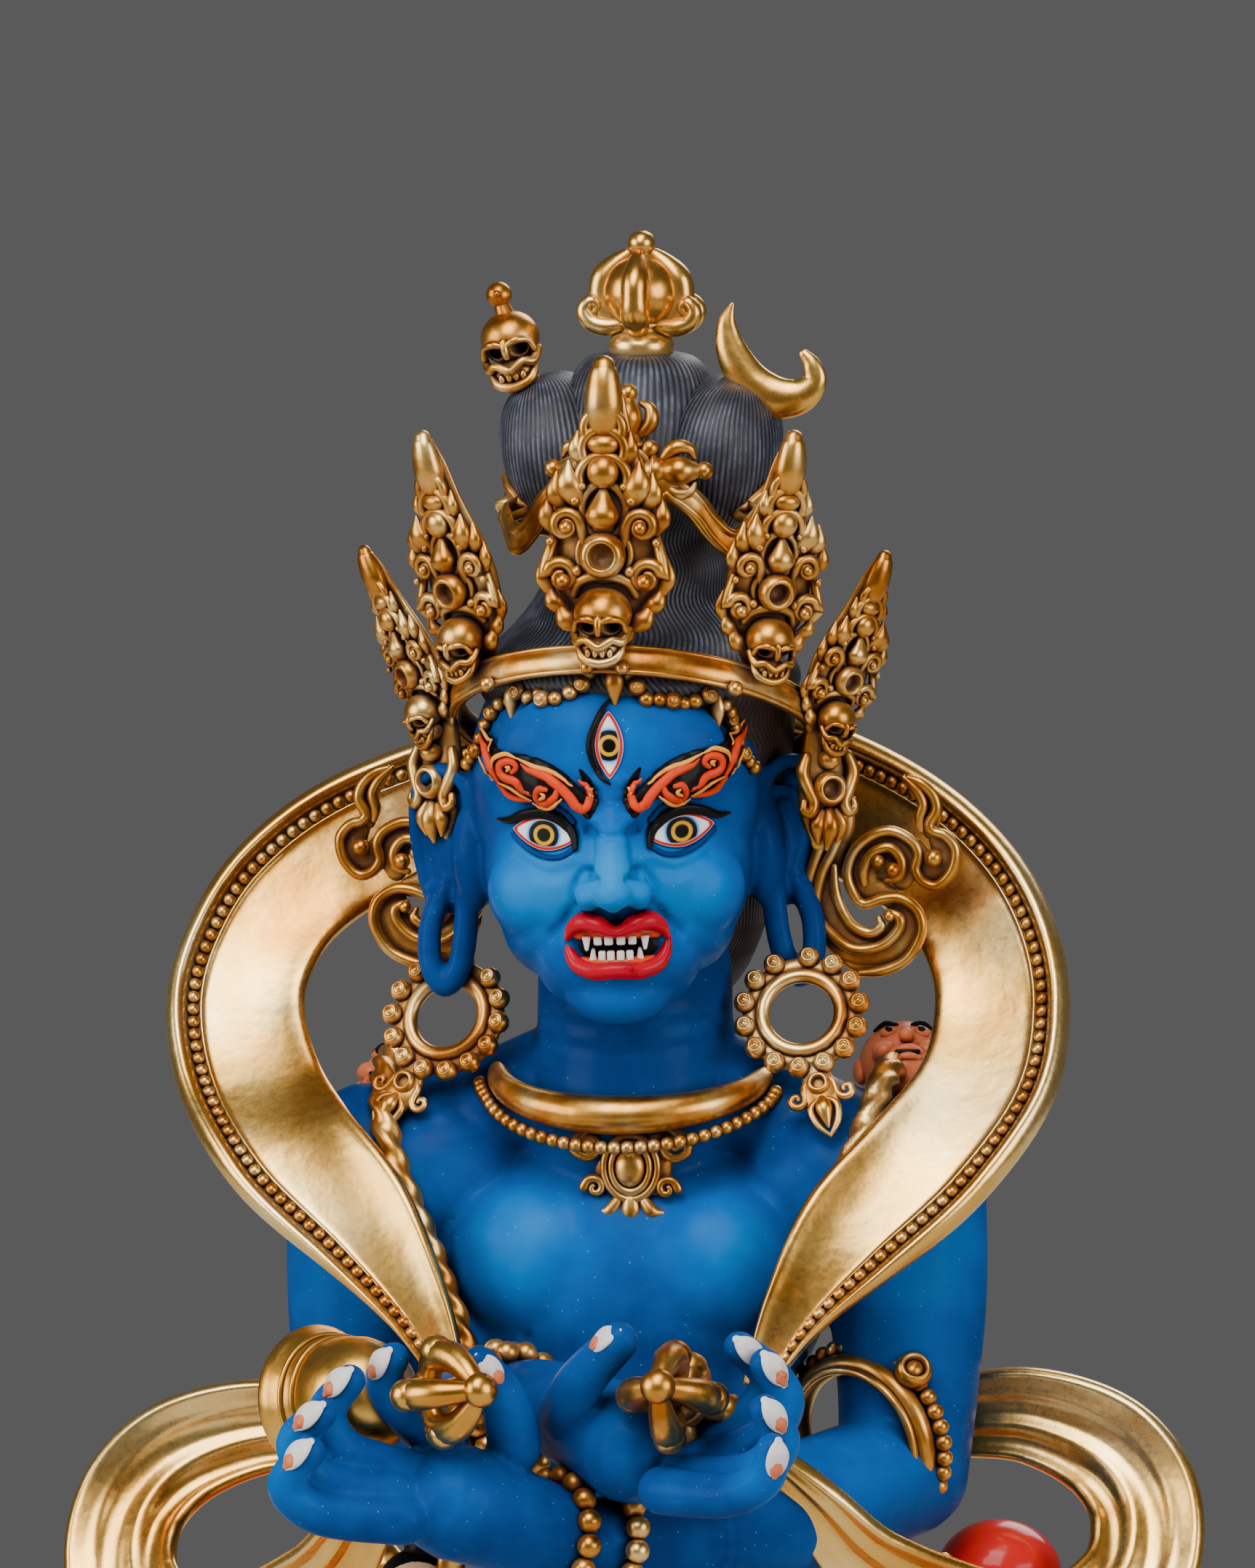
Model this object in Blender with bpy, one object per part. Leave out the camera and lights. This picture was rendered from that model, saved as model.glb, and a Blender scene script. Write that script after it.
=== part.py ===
"""A gilded and painted metal statue of Chakrasamvara, standing on a low lotus base.

Metres, +Z up. The figure faces -Y, and the origin is the middle of the base's underside.
Sizes of the figure and what it wears are drawn in millimetres at a height of DRAWN_HEIGHT and
follow FIGURE_HEIGHT. "Left" and "right" in the names are the viewer's, seen from the front.
"""

from math import cos, hypot, pi, radians, sin

import bmesh
import bpy
from mathutils import Matrix, Vector

MM = 0.001

# Driving dimensions
FIGURE_HEIGHT = 277 * MM
BASE_HEIGHT = 30 * MM
BASE_END_MARGIN = 23 * MM
BASE_SIDE_MARGIN = 29 * MM
PETALS = 14
FIT_GAP = 0.4 * MM

# Faces thinner than this are melted away after a cut
NEEDLE = 0.02 * MM

# The height that the figure is drawn at, from its soles to the flat top of the topknot,
# and how far its toes reach sideways and forwards, all in drawn millimetres
DRAWN_HEIGHT = 277
DRAWN_SOLE = 50
TOE_REACH_X = 66
TOE_REACH_Y = 22
UNIT = FIGURE_HEIGHT / DRAWN_HEIGHT

FIGURE_TRIANGLES = 3950

# Sizes of what the figure wears, in drawn millimetres
SCARF_THICKNESS = 2.4
HALO_HALF_WIDTH = 8
LOOP_HALF_WIDTH = 6.5
BAND_RADIUS = 20.6
BAND_TUBE = 1.5
CROWN_TILT = 24
COLLAR_TUBE = 2.1
EARRING_RADIUS = 6.2
EARRING_TUBE = 1.9
HEADS_ON_GARLAND = 11
VAJRA_REACH = 4.4
BELL_RADIUS = 6.6

GOLD = (0.83, 0.56, 0.21, 1)
BLUE = (0.03, 0.17, 0.50, 1)


def place(x, y, z):
    """A drawn point in millimetres as a place in metres."""
    return Vector((x * UNIT, y * UNIT, BASE_HEIGHT + (z - DRAWN_SOLE) * UNIT))


def spline(stations, steps):
    """A smooth curve through stations of any number of values each (Catmull-Rom)."""
    ends = [stations[0], *stations, stations[-1]]
    curve = []
    for before, start, end, after in zip(ends, ends[1:], ends[2:], ends[3:]):
        for step in range(steps):
            t = step / steps
            curve.append(
                tuple(
                    0.5 * (2 * b + (c - a) * t + (2 * a - 5 * b + 4 * c - d) * t**2 + (3 * b - a - 3 * c + d) * t**3)
                    for a, b, c, d in zip(before, start, end, after)
                )
            )
    return [*curve, tuple(stations[-1])]


def directions(points):
    """The unit direction of a path at each of its points."""
    ends = [points[0], *points, points[-1]]
    return [(after - before).normalized() for before, after in zip(ends, ends[2:])]


def sweep(bm, rings):
    """A closed solid through rings of points, grown by extruding one face along them."""
    face = bm.faces.new([bm.verts.new(point) for point in rings[0]])
    made = [face]
    for ring in rings[1:]:
        grown = bmesh.ops.extrude_face_region(bm, geom=[face, *face.edges, *face.verts])["geom"]
        face = next(item for item in grown if isinstance(item, bmesh.types.BMFace))
        for vertex, point in zip(face.verts, ring):
            vertex.co = point
        made.append(face)
    bmesh.ops.recalc_face_normals(bm, faces=island(made[0]))


def island(face):
    """The faces that are joined to this one."""
    found, waiting = {face}, [face]
    while waiting:
        for edge in waiting.pop().edges:
            for other in edge.link_faces:
                if other not in found:
                    found.add(other)
                    waiting.append(other)
    return list(found)


def turned_by(turn):
    """A rotation by degrees round X, then Y, then Z."""
    matrix = Matrix.Rotation(radians(turn[2]), 4, "Z") @ Matrix.Rotation(radians(turn[1]), 4, "Y")
    return matrix @ Matrix.Rotation(radians(turn[0]), 4, "X")


def ball(bm, centre, radii, turn=(0, 0, 0), fineness=3):
    """An ellipsoid at a drawn centre, with its radii in drawn millimetres and its turn in degrees."""
    sized = Matrix.Diagonal((*(UNIT * radius for radius in radii), 1))
    matrix = Matrix.Translation(place(*centre)) @ turned_by(turn) @ sized
    bmesh.ops.create_icosphere(bm, subdivisions=fineness, radius=1, matrix=matrix)


def limb(bm, stations, steps=5, sides=14, flat=1):
    """A round-ended limb through (x, y, z, radius); flat is its depth over its width."""
    path = spline(stations, steps)
    points = [place(*station[:3]) for station in path]
    side = Vector((0, 1, 0))
    rings = []
    for point, along, station in zip(points, directions(points), path):
        side = (side - along * side.dot(along)).normalized()
        across = along.cross(side)
        turns = [2 * pi * i / sides for i in range(sides)]
        reach = UNIT * station[3]
        rings.append([point + reach * (cos(a) * across + flat * sin(a) * side) for a in turns])
    sweep(bm, rings)
    for end in (stations[0], stations[-1]):
        ball(bm, end[:3], (end[3], end[3] * flat, end[3]), fineness=2)


def ring_limb(bm, centre, radii, tube, turn=(0, 0, 0), count=28, sides=8):
    """A closed ring of round tube; radii are its reach in x and y before it is turned."""
    matrix = Matrix.Translation(place(*centre)) @ turned_by(turn)
    turning = UNIT * 4 * max(radii)
    start = bmesh.ops.create_circle(bm, cap_ends=False, radius=UNIT * tube, segments=sides)["verts"]
    bmesh.ops.rotate(bm, verts=start, matrix=Matrix.Rotation(pi / 2, 3, "X"))
    bmesh.ops.translate(bm, verts=start, vec=(turning, 0, 0))
    edges = list({edge for vertex in start for edge in vertex.link_edges})
    before = set(bm.verts) - set(start)
    bmesh.ops.spin(bm, geom=edges, axis=(0, 0, 1), angle=2 * pi, steps=count, use_merge=True)
    for vertex in set(bm.verts) - before:
        around = hypot(vertex.co.x, vertex.co.y)
        out = around - turning
        vertex.co.x *= (UNIT * radii[0] + out) / around
        vertex.co.y *= (UNIT * radii[1] + out) / around
        vertex.co = matrix @ vertex.co


def paint(obj, colour, roughness, metallic):
    """Gives an object its own plain material."""
    material = bpy.data.materials.new(obj.name)
    material.use_nodes = True
    shader = material.node_tree.nodes["Principled BSDF"]
    shader.inputs["Base Color"].default_value = colour
    shader.inputs["Roughness"].default_value = roughness
    shader.inputs["Metallic"].default_value = metallic
    obj.data.materials.clear()
    obj.data.materials.append(material)


def evaluated(obj):
    """The object's mesh with its modifiers applied, as a mesh of its own."""
    bpy.context.view_layer.update()
    graph = bpy.context.evaluated_depsgraph_get()
    return bpy.data.meshes.new_from_object(obj.evaluated_get(graph), depsgraph=graph)


def settle(obj):
    """Applies the object's modifiers."""
    mesh = evaluated(obj)
    obj.modifiers.clear()
    obj.data = mesh


def raw_object(name, bm):
    """A new object that holds the mesh of bm."""
    mesh = bpy.data.meshes.new(name)
    bm.to_mesh(mesh)
    bm.free()
    obj = bpy.data.objects.new(name, mesh)
    bpy.context.scene.collection.objects.link(obj)
    return obj


def cast(name, bm, voxel, triangles, rounds=2):
    """One solid skin over all the shapes in bm, softened a little and given few faces."""
    obj = raw_object(name, bm)
    skin = obj.modifiers.new("skin", "REMESH")
    skin.mode = "VOXEL"
    skin.voxel_size = voxel * UNIT
    settle(obj)
    soft = obj.modifiers.new("soften", "SMOOTH")
    soft.iterations = rounds
    settle(obj)
    obj.data.calc_loop_triangles()
    fewer = obj.modifiers.new("fewer faces", "DECIMATE")
    fewer.ratio = min(1, triangles / len(obj.data.loop_triangles))
    settle(obj)
    return obj


def keep_largest(obj):
    """Drops the small pieces that a cut leaves, and melts its needle-thin faces."""
    bm = bmesh.new()
    bm.from_mesh(obj.data)
    bmesh.ops.triangulate(bm, faces=bm.faces[:])
    left = set(bm.faces)
    largest = []
    while left:
        group = island(next(iter(left)))
        left -= set(group)
        largest = max(largest, group, key=len)
    kept = set(largest)
    bmesh.ops.delete(bm, geom=[face for face in bm.faces if face not in kept], context="FACES")
    melted = bm.copy()
    bmesh.ops.dissolve_degenerate(melted, dist=NEEDLE, edges=melted.edges[:])
    bmesh.ops.triangulate(melted, faces=melted.faces[:])
    closed = all(len(edge.link_faces) == 2 for edge in melted.edges)
    (melted if closed else bm).to_mesh(obj.data)
    bm.free()
    melted.free()


def hide(helper):
    """Marks an object as a guide that isn't part of the statue."""
    helper.hide_render = True
    helper.display_type = "WIRE"


def cut(obj, cutter):
    """Cuts obj back from a closed cutter."""
    boolean = obj.modifiers.new("fit", "BOOLEAN")
    boolean.operation = "DIFFERENCE"
    boolean.solver = "EXACT"
    boolean.object = cutter
    settle(obj)
    keep_largest(obj)


def room_for(obj):
    """A hidden copy of obj that is larger all round by the gap that its neighbours keep."""
    room = bpy.data.objects.new(obj.name + "_room", obj.data.copy())
    bpy.context.scene.collection.objects.link(room)
    grow = room.modifiers.new("gap", "DISPLACE")
    grow.strength = FIT_GAP
    grow.mid_level = 0
    settle(room)
    hide(room)
    return room


def box(obj):
    """The lowest and highest corner of an object's mesh."""
    corners = [vertex.co for vertex in obj.data.vertices]
    return [[pick(corner[axis] for corner in corners) for axis in range(3)] for pick in (min, max)]


def boxes_meet(one, other):
    """Whether two objects' boxes overlap."""
    (low, high), (other_low, other_high) = box(one), box(other)
    return all(low[axis] < other_high[axis] and high[axis] > other_low[axis] for axis in range(3))


def mirrored(stations):
    """The same stations on the other side of the figure."""
    return [(-station[0], *station[1:]) for station in stations]


def hand(bm, wrist, palm, fingers, thumb):
    """A cupped hand: a palm between the wrist and the roots of its fingers."""
    limb(bm, [(*wrist, 5.2), (*palm, 6.6)], steps=3)
    for finger in fingers:
        limb(bm, [(*point, radius) for point, radius in zip(finger, (2.9, 2.6, 2.3, 1.9))], steps=3, sides=10)
    limb(bm, [(*point, radius) for point, radius in zip(thumb, (3.2, 2.8, 2.3))], steps=3, sides=10)


def legs(bm):
    """The lunge: one leg stretched out, one bent, both feet flat."""
    limb(bm, [(-9.5, 2, 150, 14.5), (-22, 0, 128, 13), (-34, -3, 104, 9.2), (-41, 1, 84, 9.4), (-49, 3, 62, 5.8)])
    limb(bm, [(-50, 5, 56, 6.4), (-55, -5, 54.5, 6.2), (-62, -16, 53.5, 5)])
    limb(bm, [(9.5, 2, 150, 14.5), (24, -8, 129, 13.5), (39, -18, 108, 10), (37, -9, 86, 9.6), (35, 1, 63, 5.8)])
    limb(bm, [(35, 4, 56, 6.4), (41, -7, 54.5, 6.2), (49, -18, 53.5, 5)])


SKIRT_FOLDS = 9
SKIRT_SECTIONS = [
    (176, 17, 12.5, 0), (166, 20, 15, 0.4), (152, 26, 18, 0.9), (138, 32, 20, 1.4), (127, 37, 21.5, 2),
]


def skirt(bm):
    """A short pelt skirt, flared over the thighs; each section is (z, half x, half y, fold)."""
    sides = 4 * SKIRT_FOLDS
    rings = []
    for z, half_x, half_y, fold in SKIRT_SECTIONS:
        ring = []
        for index in range(sides):
            turn = 2 * pi * index / sides
            wave = 1 + fold * cos(SKIRT_FOLDS * turn) / half_x
            ring.append(place(half_x * wave * cos(turn), half_y * wave * sin(turn) - 2, z))
        rings.append(ring)
    sweep(bm, rings)


def torso(bm):
    """Waist, belly, chest and shoulders, with the neck."""
    limb(bm, [(0, 2, 164, 18), (0, 1, 178, 17), (0, 0, 192, 16.8), (0, 0, 207, 18)], flat=0.75)
    ball(bm, (0, -4, 180), (13, 10.5, 14))
    ball(bm, (0, 1, 219), (22.5, 14.5, 19))
    for side in (-1, 1):
        ball(bm, (side * 10, -5, 222), (11, 9, 10))
        ball(bm, (side * 25, 1, 231), (13, 10, 9.5), turn=(0, side * 20, 0))
        limb(bm, [(0, 3, 244, 9), (side * 14, 3, 239, 7.5), (side * 27, 2, 234, 7)])
    limb(bm, [(0, 1, 238, 11.5), (0, 1, 246, 10.4), (0, 1, 256, 10.6)])


UPPER_ARM = [(31, 2, 232, 9.6), (31.5, 2, 219, 9.3), (31.8, 1, 208, 8.2), (31.5, 0, 199, 7.6)]
LEFT_FOREARM = [(-31.5, 0, 198, 7.6), (-25, -12, 201, 7.4), (-14, -25, 206, 6.1), (-5, -33, 209, 5.2)]
RIGHT_FOREARM = [(31.5, 0, 198, 7.6), (24, -14, 196, 7.6), (13, -30, 194, 6.4), (3, -42, 194, 5.3)]

# The hand that comes from the viewer's left holds the vajra; its fingers rise on the right
VAJRA_WRIST = (-4, -34, 209)
VAJRA_PALM = (8, -46, 206)
VAJRA_FINGERS = [
    [(14, -44, 206), (21, -46, 209), (24, -47, 214), (21, -50, 218)],
    [(15, -48, 204), (23, -50, 207), (26.5, -51, 212), (24.5, -53, 216.5)],
    [(15, -52, 203), (23, -55, 204), (27, -57, 208), (25.5, -59, 212)],
    [(13, -55, 202), (21, -59, 202), (26, -62, 204.5), (27, -63, 208)],
]
VAJRA_THUMB = [(0, -45, 209), (3, -51, 214), (8, -55, 219)]

# The hand that comes from the viewer's right holds the bell; its fingers rise on the left
BELL_WRIST = (2, -43, 194)
BELL_PALM = (-11, -54, 200)
BELL_FINGERS = [
    [(-13, -50, 206), (-17, -53, 210), (-19, -55.5, 214), (-17.6, -57.5, 216.8)],
    [(-16, -55, 203), (-23, -57.5, 206), (-25, -59.5, 210.5), (-22, -61, 214.6)],
    [(-17, -58, 201), (-25.5, -60.5, 203), (-28, -62.5, 207.5), (-24.8, -64, 211)],
    [(-16, -60, 198.5), (-25, -63, 199.5), (-28.5, -65.5, 203), (-25.5, -67, 207)],
]
BELL_THUMB = [(-5, -50, 206), (-5.5, -53, 211.5), (-8, -56, 216)]


def arms(bm):
    """Both arms, crossed at the wrists in front of the chest."""
    limb(bm, UPPER_ARM)
    limb(bm, mirrored(UPPER_ARM))
    limb(bm, LEFT_FOREARM)
    limb(bm, RIGHT_FOREARM)
    hand(bm, VAJRA_WRIST, VAJRA_PALM, VAJRA_FINGERS, VAJRA_THUMB)
    hand(bm, BELL_WRIST, BELL_PALM, BELL_FINGERS, BELL_THUMB)


HEAD = (0, -1, 272)


def head(bm):
    """The head with brows, nose, mouth, chin and long-lobed ears."""
    x, y, z = HEAD
    ball(bm, (x, y + 2, z + 5), (17.2, 19.5, 20))
    ball(bm, (x, y - 3, z - 5), (15.6, 15.5, 15.5))
    ball(bm, (x, y - 9, z - 14), (9.5, 8.5, 8))
    ball(bm, (x, y - 15.5, z + 12), (13, 5, 7))
    limb(bm, [(x, y - 17.5, z + 5, 2.2), (x, y - 20, z - 2, 2.4), (x, y - 21.5, z - 6, 3)])
    for side in (-1, 1):
        ball(bm, (x + side * 3.4, y - 18.5, z - 6.4), (2.2, 2.6, 1.9))
        ball(bm, (x + side * 8.2, y - 14, z - 5.5), (6, 5, 5))
        ball(bm, (x + side * 7.4, y - 16, z + 2), (4, 2.6, 2.8))
        limb(bm, [(x + side * 2, y - 18.5, z + 5, 1.4), (x + side * 8, y - 18, z + 8, 1.9), (x + side * 13, y - 13, z + 10.5, 1.3)])
        limb(bm, [(side * 18.5, 4, 279, 2.6), (side * 20.5, 5, 270, 3.2), (side * 19.5, 4, 262, 2.5), (side * 20.3, 3, 256.5, 2)])
    limb(bm, [(x - 5.5, y - 16.5, z - 14, 1.6), (x, y - 18.5, z - 13, 2.3), (x + 5.5, y - 16.5, z - 14, 1.6)], steps=4)


def hair(bm):
    """The hair cap and the high topknot, wound into two side rolls."""
    ball(bm, (0, 3, 284), (19.6, 20.5, 12.5))
    limb(bm, [(0, 5, 291, 17), (0, 5, 297, 12.5), (0, 5, 304, 10.6), (0, 5, 311, 11.4)])
    ball(bm, (0, 5, 315), (11.5, 11.5, 10.5))
    for side in (-1, 1):
        ball(bm, (side * 8.6, 5, 315.5), (7.6, 10.5, 9.5))
    limb(bm, [(0, 5, 318, 9.5), (0, 5, 324.5, 8)], flat=1)


def worn_with_the_figure(bm):
    """Collar, armlets, belt and anklets, which are cast with the body."""
    ring_limb(bm, (0, 0, 241.5), (15.5, 13), COLLAR_TUBE, turn=(16, 0, 0))
    ball(bm, (0, -15.5, 233), (4.5, 1.8, 5.2))
    for side in (-1, 1):
        ring_limb(bm, (side * 31.5, 1, 204.5), (8.6, 8.8), 1.5)
        ball(bm, (side * 37.5, -7, 210), (2.4, 2.4, 2.4))
    ring_limb(bm, (0, -0.5, 174), (18.5, 14.5), 2.2)
    ball(bm, (0, -16, 172), (5, 2.5, 5))
    ring_limb(bm, (-47.5, 2.5, 66), (7, 7), 1.5)
    ring_limb(bm, (35.2, 0, 67), (7, 7), 1.5)


ROPE_OVER_SHOULDER = [
    (12, 15, 224, 2), (24, 14.5, 234, 2), (28.5, 9, 243, 2), (29, 0, 243, 1.9), (27, -8, 235, 1.8),
    (20.5, -10.5, 220, 1.8), (17, -12.5, 209, 1.8), (17, -12.5, 195, 1.8), (21, -11, 184, 2),
]


def small_head(bm, x, y, z):
    """One small head of the garland: a skull, a jaw in front and a knot of hair above."""
    ball(bm, (x, y, z), (5.2, 5.4, 5.4), fineness=2)
    ball(bm, (x, y - 2.4, z - 3.6), (3.4, 3.2, 3.6), fineness=2)
    ball(bm, (x, y + 1, z + 5), (2.4, 2.4, 2.6), fineness=2)


def garland(bm):
    """A rope over both shoulders, with small heads on it behind, at the hips and in a low curve."""
    for side in (-1, 1):
        limb(bm, [(side * station[0], *station[1:]) for station in ROPE_OVER_SHOULDER], sides=8)
        small_head(bm, side * 29, 13, 241)
        small_head(bm, side * 23, -10, 183)
    limb(bm, [(-12, 15, 224, 2), (0, 15.5, 221, 2), (12, 15, 224, 2)], sides=8)
    low_curve = []
    for index in range(HEADS_ON_GARLAND):
        turn = pi * index / (HEADS_ON_GARLAND - 1)
        spot = (31 * cos(turn), -14 - 13 * sin(turn), 168 - 50 * sin(turn))
        small_head(bm, *spot)
        low_curve.append((spot[0], spot[1] + 3, spot[2] + 1, 2))
    limb(bm, low_curve, steps=3, sides=8)
    for side in (-1, 1):
        limb(bm, [(side * 21, -8, 184, 2), (side * 29, -2, 187, 2), (side * 38, 6, 186, 2)], steps=3, sides=8)
        small_head(bm, side * 39.5, 8, 184)


def cut_soles(obj):
    """Cuts the feet off flat, a gap above the base."""
    bm = bmesh.new()
    bm.from_mesh(obj.data)
    level = Vector((0, 0, BASE_HEIGHT + FIT_GAP))
    geometry = bm.verts[:] + bm.edges[:] + bm.faces[:]
    bmesh.ops.bisect_plane(bm, geom=geometry, plane_co=level, plane_no=(0, 0, 1), clear_inner=True)
    bmesh.ops.holes_fill(bm, edges=[edge for edge in bm.edges if edge.is_boundary])
    bmesh.ops.triangulate(bm, faces=bm.faces[:])
    bm.to_mesh(obj.data)
    bm.free()


def figure():
    """The cast figure with what is cast with it, its soles cut flat."""
    bm = bmesh.new()
    for shape in (legs, skirt, torso, arms, head, hair, worn_with_the_figure, garland):
        shape(bm)
    obj = cast("figure", bm, voxel=0.9, triangles=FIGURE_TRIANGLES, rounds=3)
    cut_soles(obj)
    paint(obj, BLUE, 0.35, 0)
    return obj


# Share of the base's half width, share of its height, and how far the petals stand out there
BASE_PROFILE = [
    (0.97, 0, 0), (0.98, 0.12, 0), (0.93, 0.14, 0.05), (0.91, 0.32, 0.07), (0.85, 0.5, 0.03),
    (0.93, 0.76, 0.07), (0.93, 0.88, 0.04), (0.9, 0.92, 0), (0.9, 1, 0),
]
POINTS_ON_PETAL = 3


def lotus_base():
    """An oval base as large as the stance, with one row of petals turned down and one turned up."""
    half_x = TOE_REACH_X * UNIT + BASE_END_MARGIN
    half_y = TOE_REACH_Y * UNIT + BASE_SIDE_MARGIN
    count = PETALS * POINTS_ON_PETAL
    rings = []
    for reach, height, swell in BASE_PROFILE:
        ring = []
        for index in range(count):
            turn = 2 * pi * index / count
            wave = reach - swell * (index % POINTS_ON_PETAL == 0)
            ring.append(Vector((half_x * wave * cos(turn), half_y * wave * sin(turn), BASE_HEIGHT * height)))
        rings.append(ring)
    bm = bmesh.new()
    sweep(bm, rings)
    obj = raw_object("lotus_base", bm)
    paint(obj, GOLD, 0.3, 1)
    return obj


SCARF_STEPS = 2

# The scarf's section: share of its half width, share of its half thickness; the rim is at 1
SCARF_SECTION = [(-1, 0.5), (-1, -0.5), (0.2, -1), (1, -1), (1, 1.5), (0.78, 1.4), (0.66, 0.7), (-0.4, 0.9)]


def ribbon(name, stations, steps, middle):
    """A band of scarf through (x, y, z, half width), its rim on the side away from the middle."""
    path = spline(stations, steps)
    points = [place(*station[:3]) for station in path]
    centre = place(*middle)
    rings = []
    for point, along, station in zip(points, directions(points), path):
        out = Vector((point.x - centre.x, 0, point.z - centre.z))
        across = (out - along * out.dot(along)).normalized()
        face = across.cross(along)
        if face.y > 0:
            face = -face
        ring = []
        for wide, deep in SCARF_SECTION:
            ring.append(point + UNIT * (wide * station[3] * across + deep * SCARF_THICKNESS / 2 * face))
        rings.append(ring)
    bm = bmesh.new()
    sweep(bm, rings)
    obj = raw_object(name, bm)
    paint(obj, GOLD, 0.2, 1)
    return obj


# Each station of a scarf is (x, y, z, share of its half width)
HALO_SIDE = [
    (17.5, -19, 209.5, 0.2), (21.5, -18, 218, 0.48), (27.5, -15.5, 226.8, 0.83), (34.5, -11, 234.3, 0.98),
    (41, -3, 243, 1), (43.5, 4, 252, 0.95), (40, 10, 263.5, 0.95), (31.5, 16, 272, 1), (16, 22, 277.5, 1),
]
HALO_TOP = (0, 25, 279, 1)
LOOP_STATIONS = [
    (34, 11, 203, 0.7), (44.5, 10, 203.5, 0.85), (54, 8, 200, 0.98), (58.8, 5, 193.5, 1), (58, 0, 185.5, 1),
    (50, -7, 180, 0.98), (40, -14, 183.5, 0.92), (31, -21, 190.5, 0.77), (25.5, -26, 198, 0.55),
    (19, -28.5, 204.5, 0.23),
]


def widths(stations, half_width):
    """Stations with their share of the half width worked out."""
    return [(*station[:3], station[3] * half_width) for station in stations]


def scarf_halo():
    """The wide scarf that rises behind the head and comes down in front of both arms."""
    stations = widths([*HALO_SIDE, HALO_TOP, *reversed(mirrored(HALO_SIDE))], HALO_HALF_WIDTH)
    return ribbon("scarf_halo", stations, SCARF_STEPS, (0, 6, 243))


def scarf_loop(name, side):
    """The loop of scarf beside one elbow, from behind the arm round to the front of the forearm."""
    stations = [(side * station[0], *station[1:]) for station in widths(LOOP_STATIONS, LOOP_HALF_WIDTH)]
    return ribbon(name, stations, SCARF_STEPS, (side * 42, 0, 192))


# Each leaf of the crown: its turn round the band, its size, and how far it leans out as it rises
CROWN_LEAVES = [(0, 1.05, 0.02), (-53, 0.82, 0.14), (53, 0.82, 0.14), (-82, 0.7, 0.24), (82, 0.7, 0.24)]


def on_band(turn, out, up):
    """A drawn point by its turn round the crown's tilted band, its reach out of it and its height."""
    reach = BAND_RADIUS + out
    y = -reach * cos(radians(turn)) * cos(radians(CROWN_TILT)) + 1
    z = 284.5 + reach * cos(radians(turn)) * sin(radians(CROWN_TILT)) + up
    return (reach * sin(radians(turn)), y, z)


def leaf(bm, turn, size, lean):
    """One leaf of the crown: a skull below, scrolls beside it and a stepped point above."""
    def spot(side, out, up):
        """A drawn point by its place across the leaf, out of it and up it."""
        x, y, z = on_band(turn, out + lean * up, up)
        return (x + side * cos(radians(turn)), y + side * sin(radians(turn)), z)

    ball(bm, spot(0, 2.2, 1.5 * size), (3.6 * size, 3.4 * size, 3.6 * size), fineness=2)
    limb(bm, [(*spot(0, 1, 2 * size), 3.6 * size), (*spot(0, 1, 10 * size), 5 * size),
              (*spot(0, 0.8, 18 * size), 4 * size), (*spot(0, 0.6, 26 * size), 2.6 * size),
              (*spot(0, 0.4, 31 * size), 1 * size)], sides=10, flat=0.55)
    ball(bm, spot(0, 2.6, 8.5 * size), (2.2 * size,) * 3, fineness=2)
    ball(bm, spot(0, 2.4, 14 * size), (2.2 * size, 2 * size, 3 * size), fineness=2)
    for side in (-1, 1):
        ball(bm, spot(side * 4.6 * size, 1, 7 * size), (2.4 * size, 1.9 * size, 2.6 * size), fineness=2)
        ball(bm, spot(side * 4.4 * size, 1, 13 * size), (2.2 * size, 1.8 * size, 3 * size), fineness=2)


def crown_fan(bm, side):
    """The scrolled ribbon that hangs behind one ear, from the crown's side leaf."""
    limb(bm, [(side * 23, 5, 279, 2.6), (side * 23, 6, 271, 2.4), (side * 24, 6, 262, 2.6),
              (side * 29, 6, 258.5, 2.6), (side * 33, 6, 263, 2.4), (side * 29, 6, 266.5, 2)], sides=8, flat=0.8)
    limb(bm, [(side * 25, 6, 266, 2.4), (side * 26.5, 6, 272.5, 2.4), (side * 31, 6, 273.5, 2.2),
              (side * 35.5, 6, 270, 2), (side * 37, 6, 274, 1.6), (side * 34.5, 6, 280, 1.2)], sides=8, flat=0.8)


def crown():
    """The band with its five leaves and the scrolled ribbons at both ears."""
    bm = bmesh.new()
    ring_limb(bm, (0, 1, 284.5), (BAND_RADIUS, BAND_RADIUS), BAND_TUBE, turn=(-CROWN_TILT, 0, 0), count=40)
    for turn, size, lean in CROWN_LEAVES:
        leaf(bm, turn, size, lean)
    for side in (-1, 1):
        crown_fan(bm, side)
    obj = cast("crown", bm, voxel=0.55, triangles=1150, rounds=1)
    paint(obj, GOLD, 0.3, 1)
    return obj


def earring(name, side):
    """A heavy ring with a jewelled drop, hung in the ear lobe."""
    bm = bmesh.new()
    x, y, z = side * 20.3, 2.5, 250.5
    ring_limb(bm, (x, y, z), (EARRING_RADIUS, EARRING_RADIUS), EARRING_TUBE, turn=(90, 0, 10 * side), count=24)
    ball(bm, (x, y - 0.5, z - 9), (2.2, 1.8, 2.2), fineness=2)
    ball(bm, (x, y - 0.5, z - 13), (2.2, 1.6, 3.2), fineness=2)
    obj = cast(name, bm, voxel=0.4, triangles=200, rounds=1)
    paint(obj, GOLD, 0.3, 1)
    return obj


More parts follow.
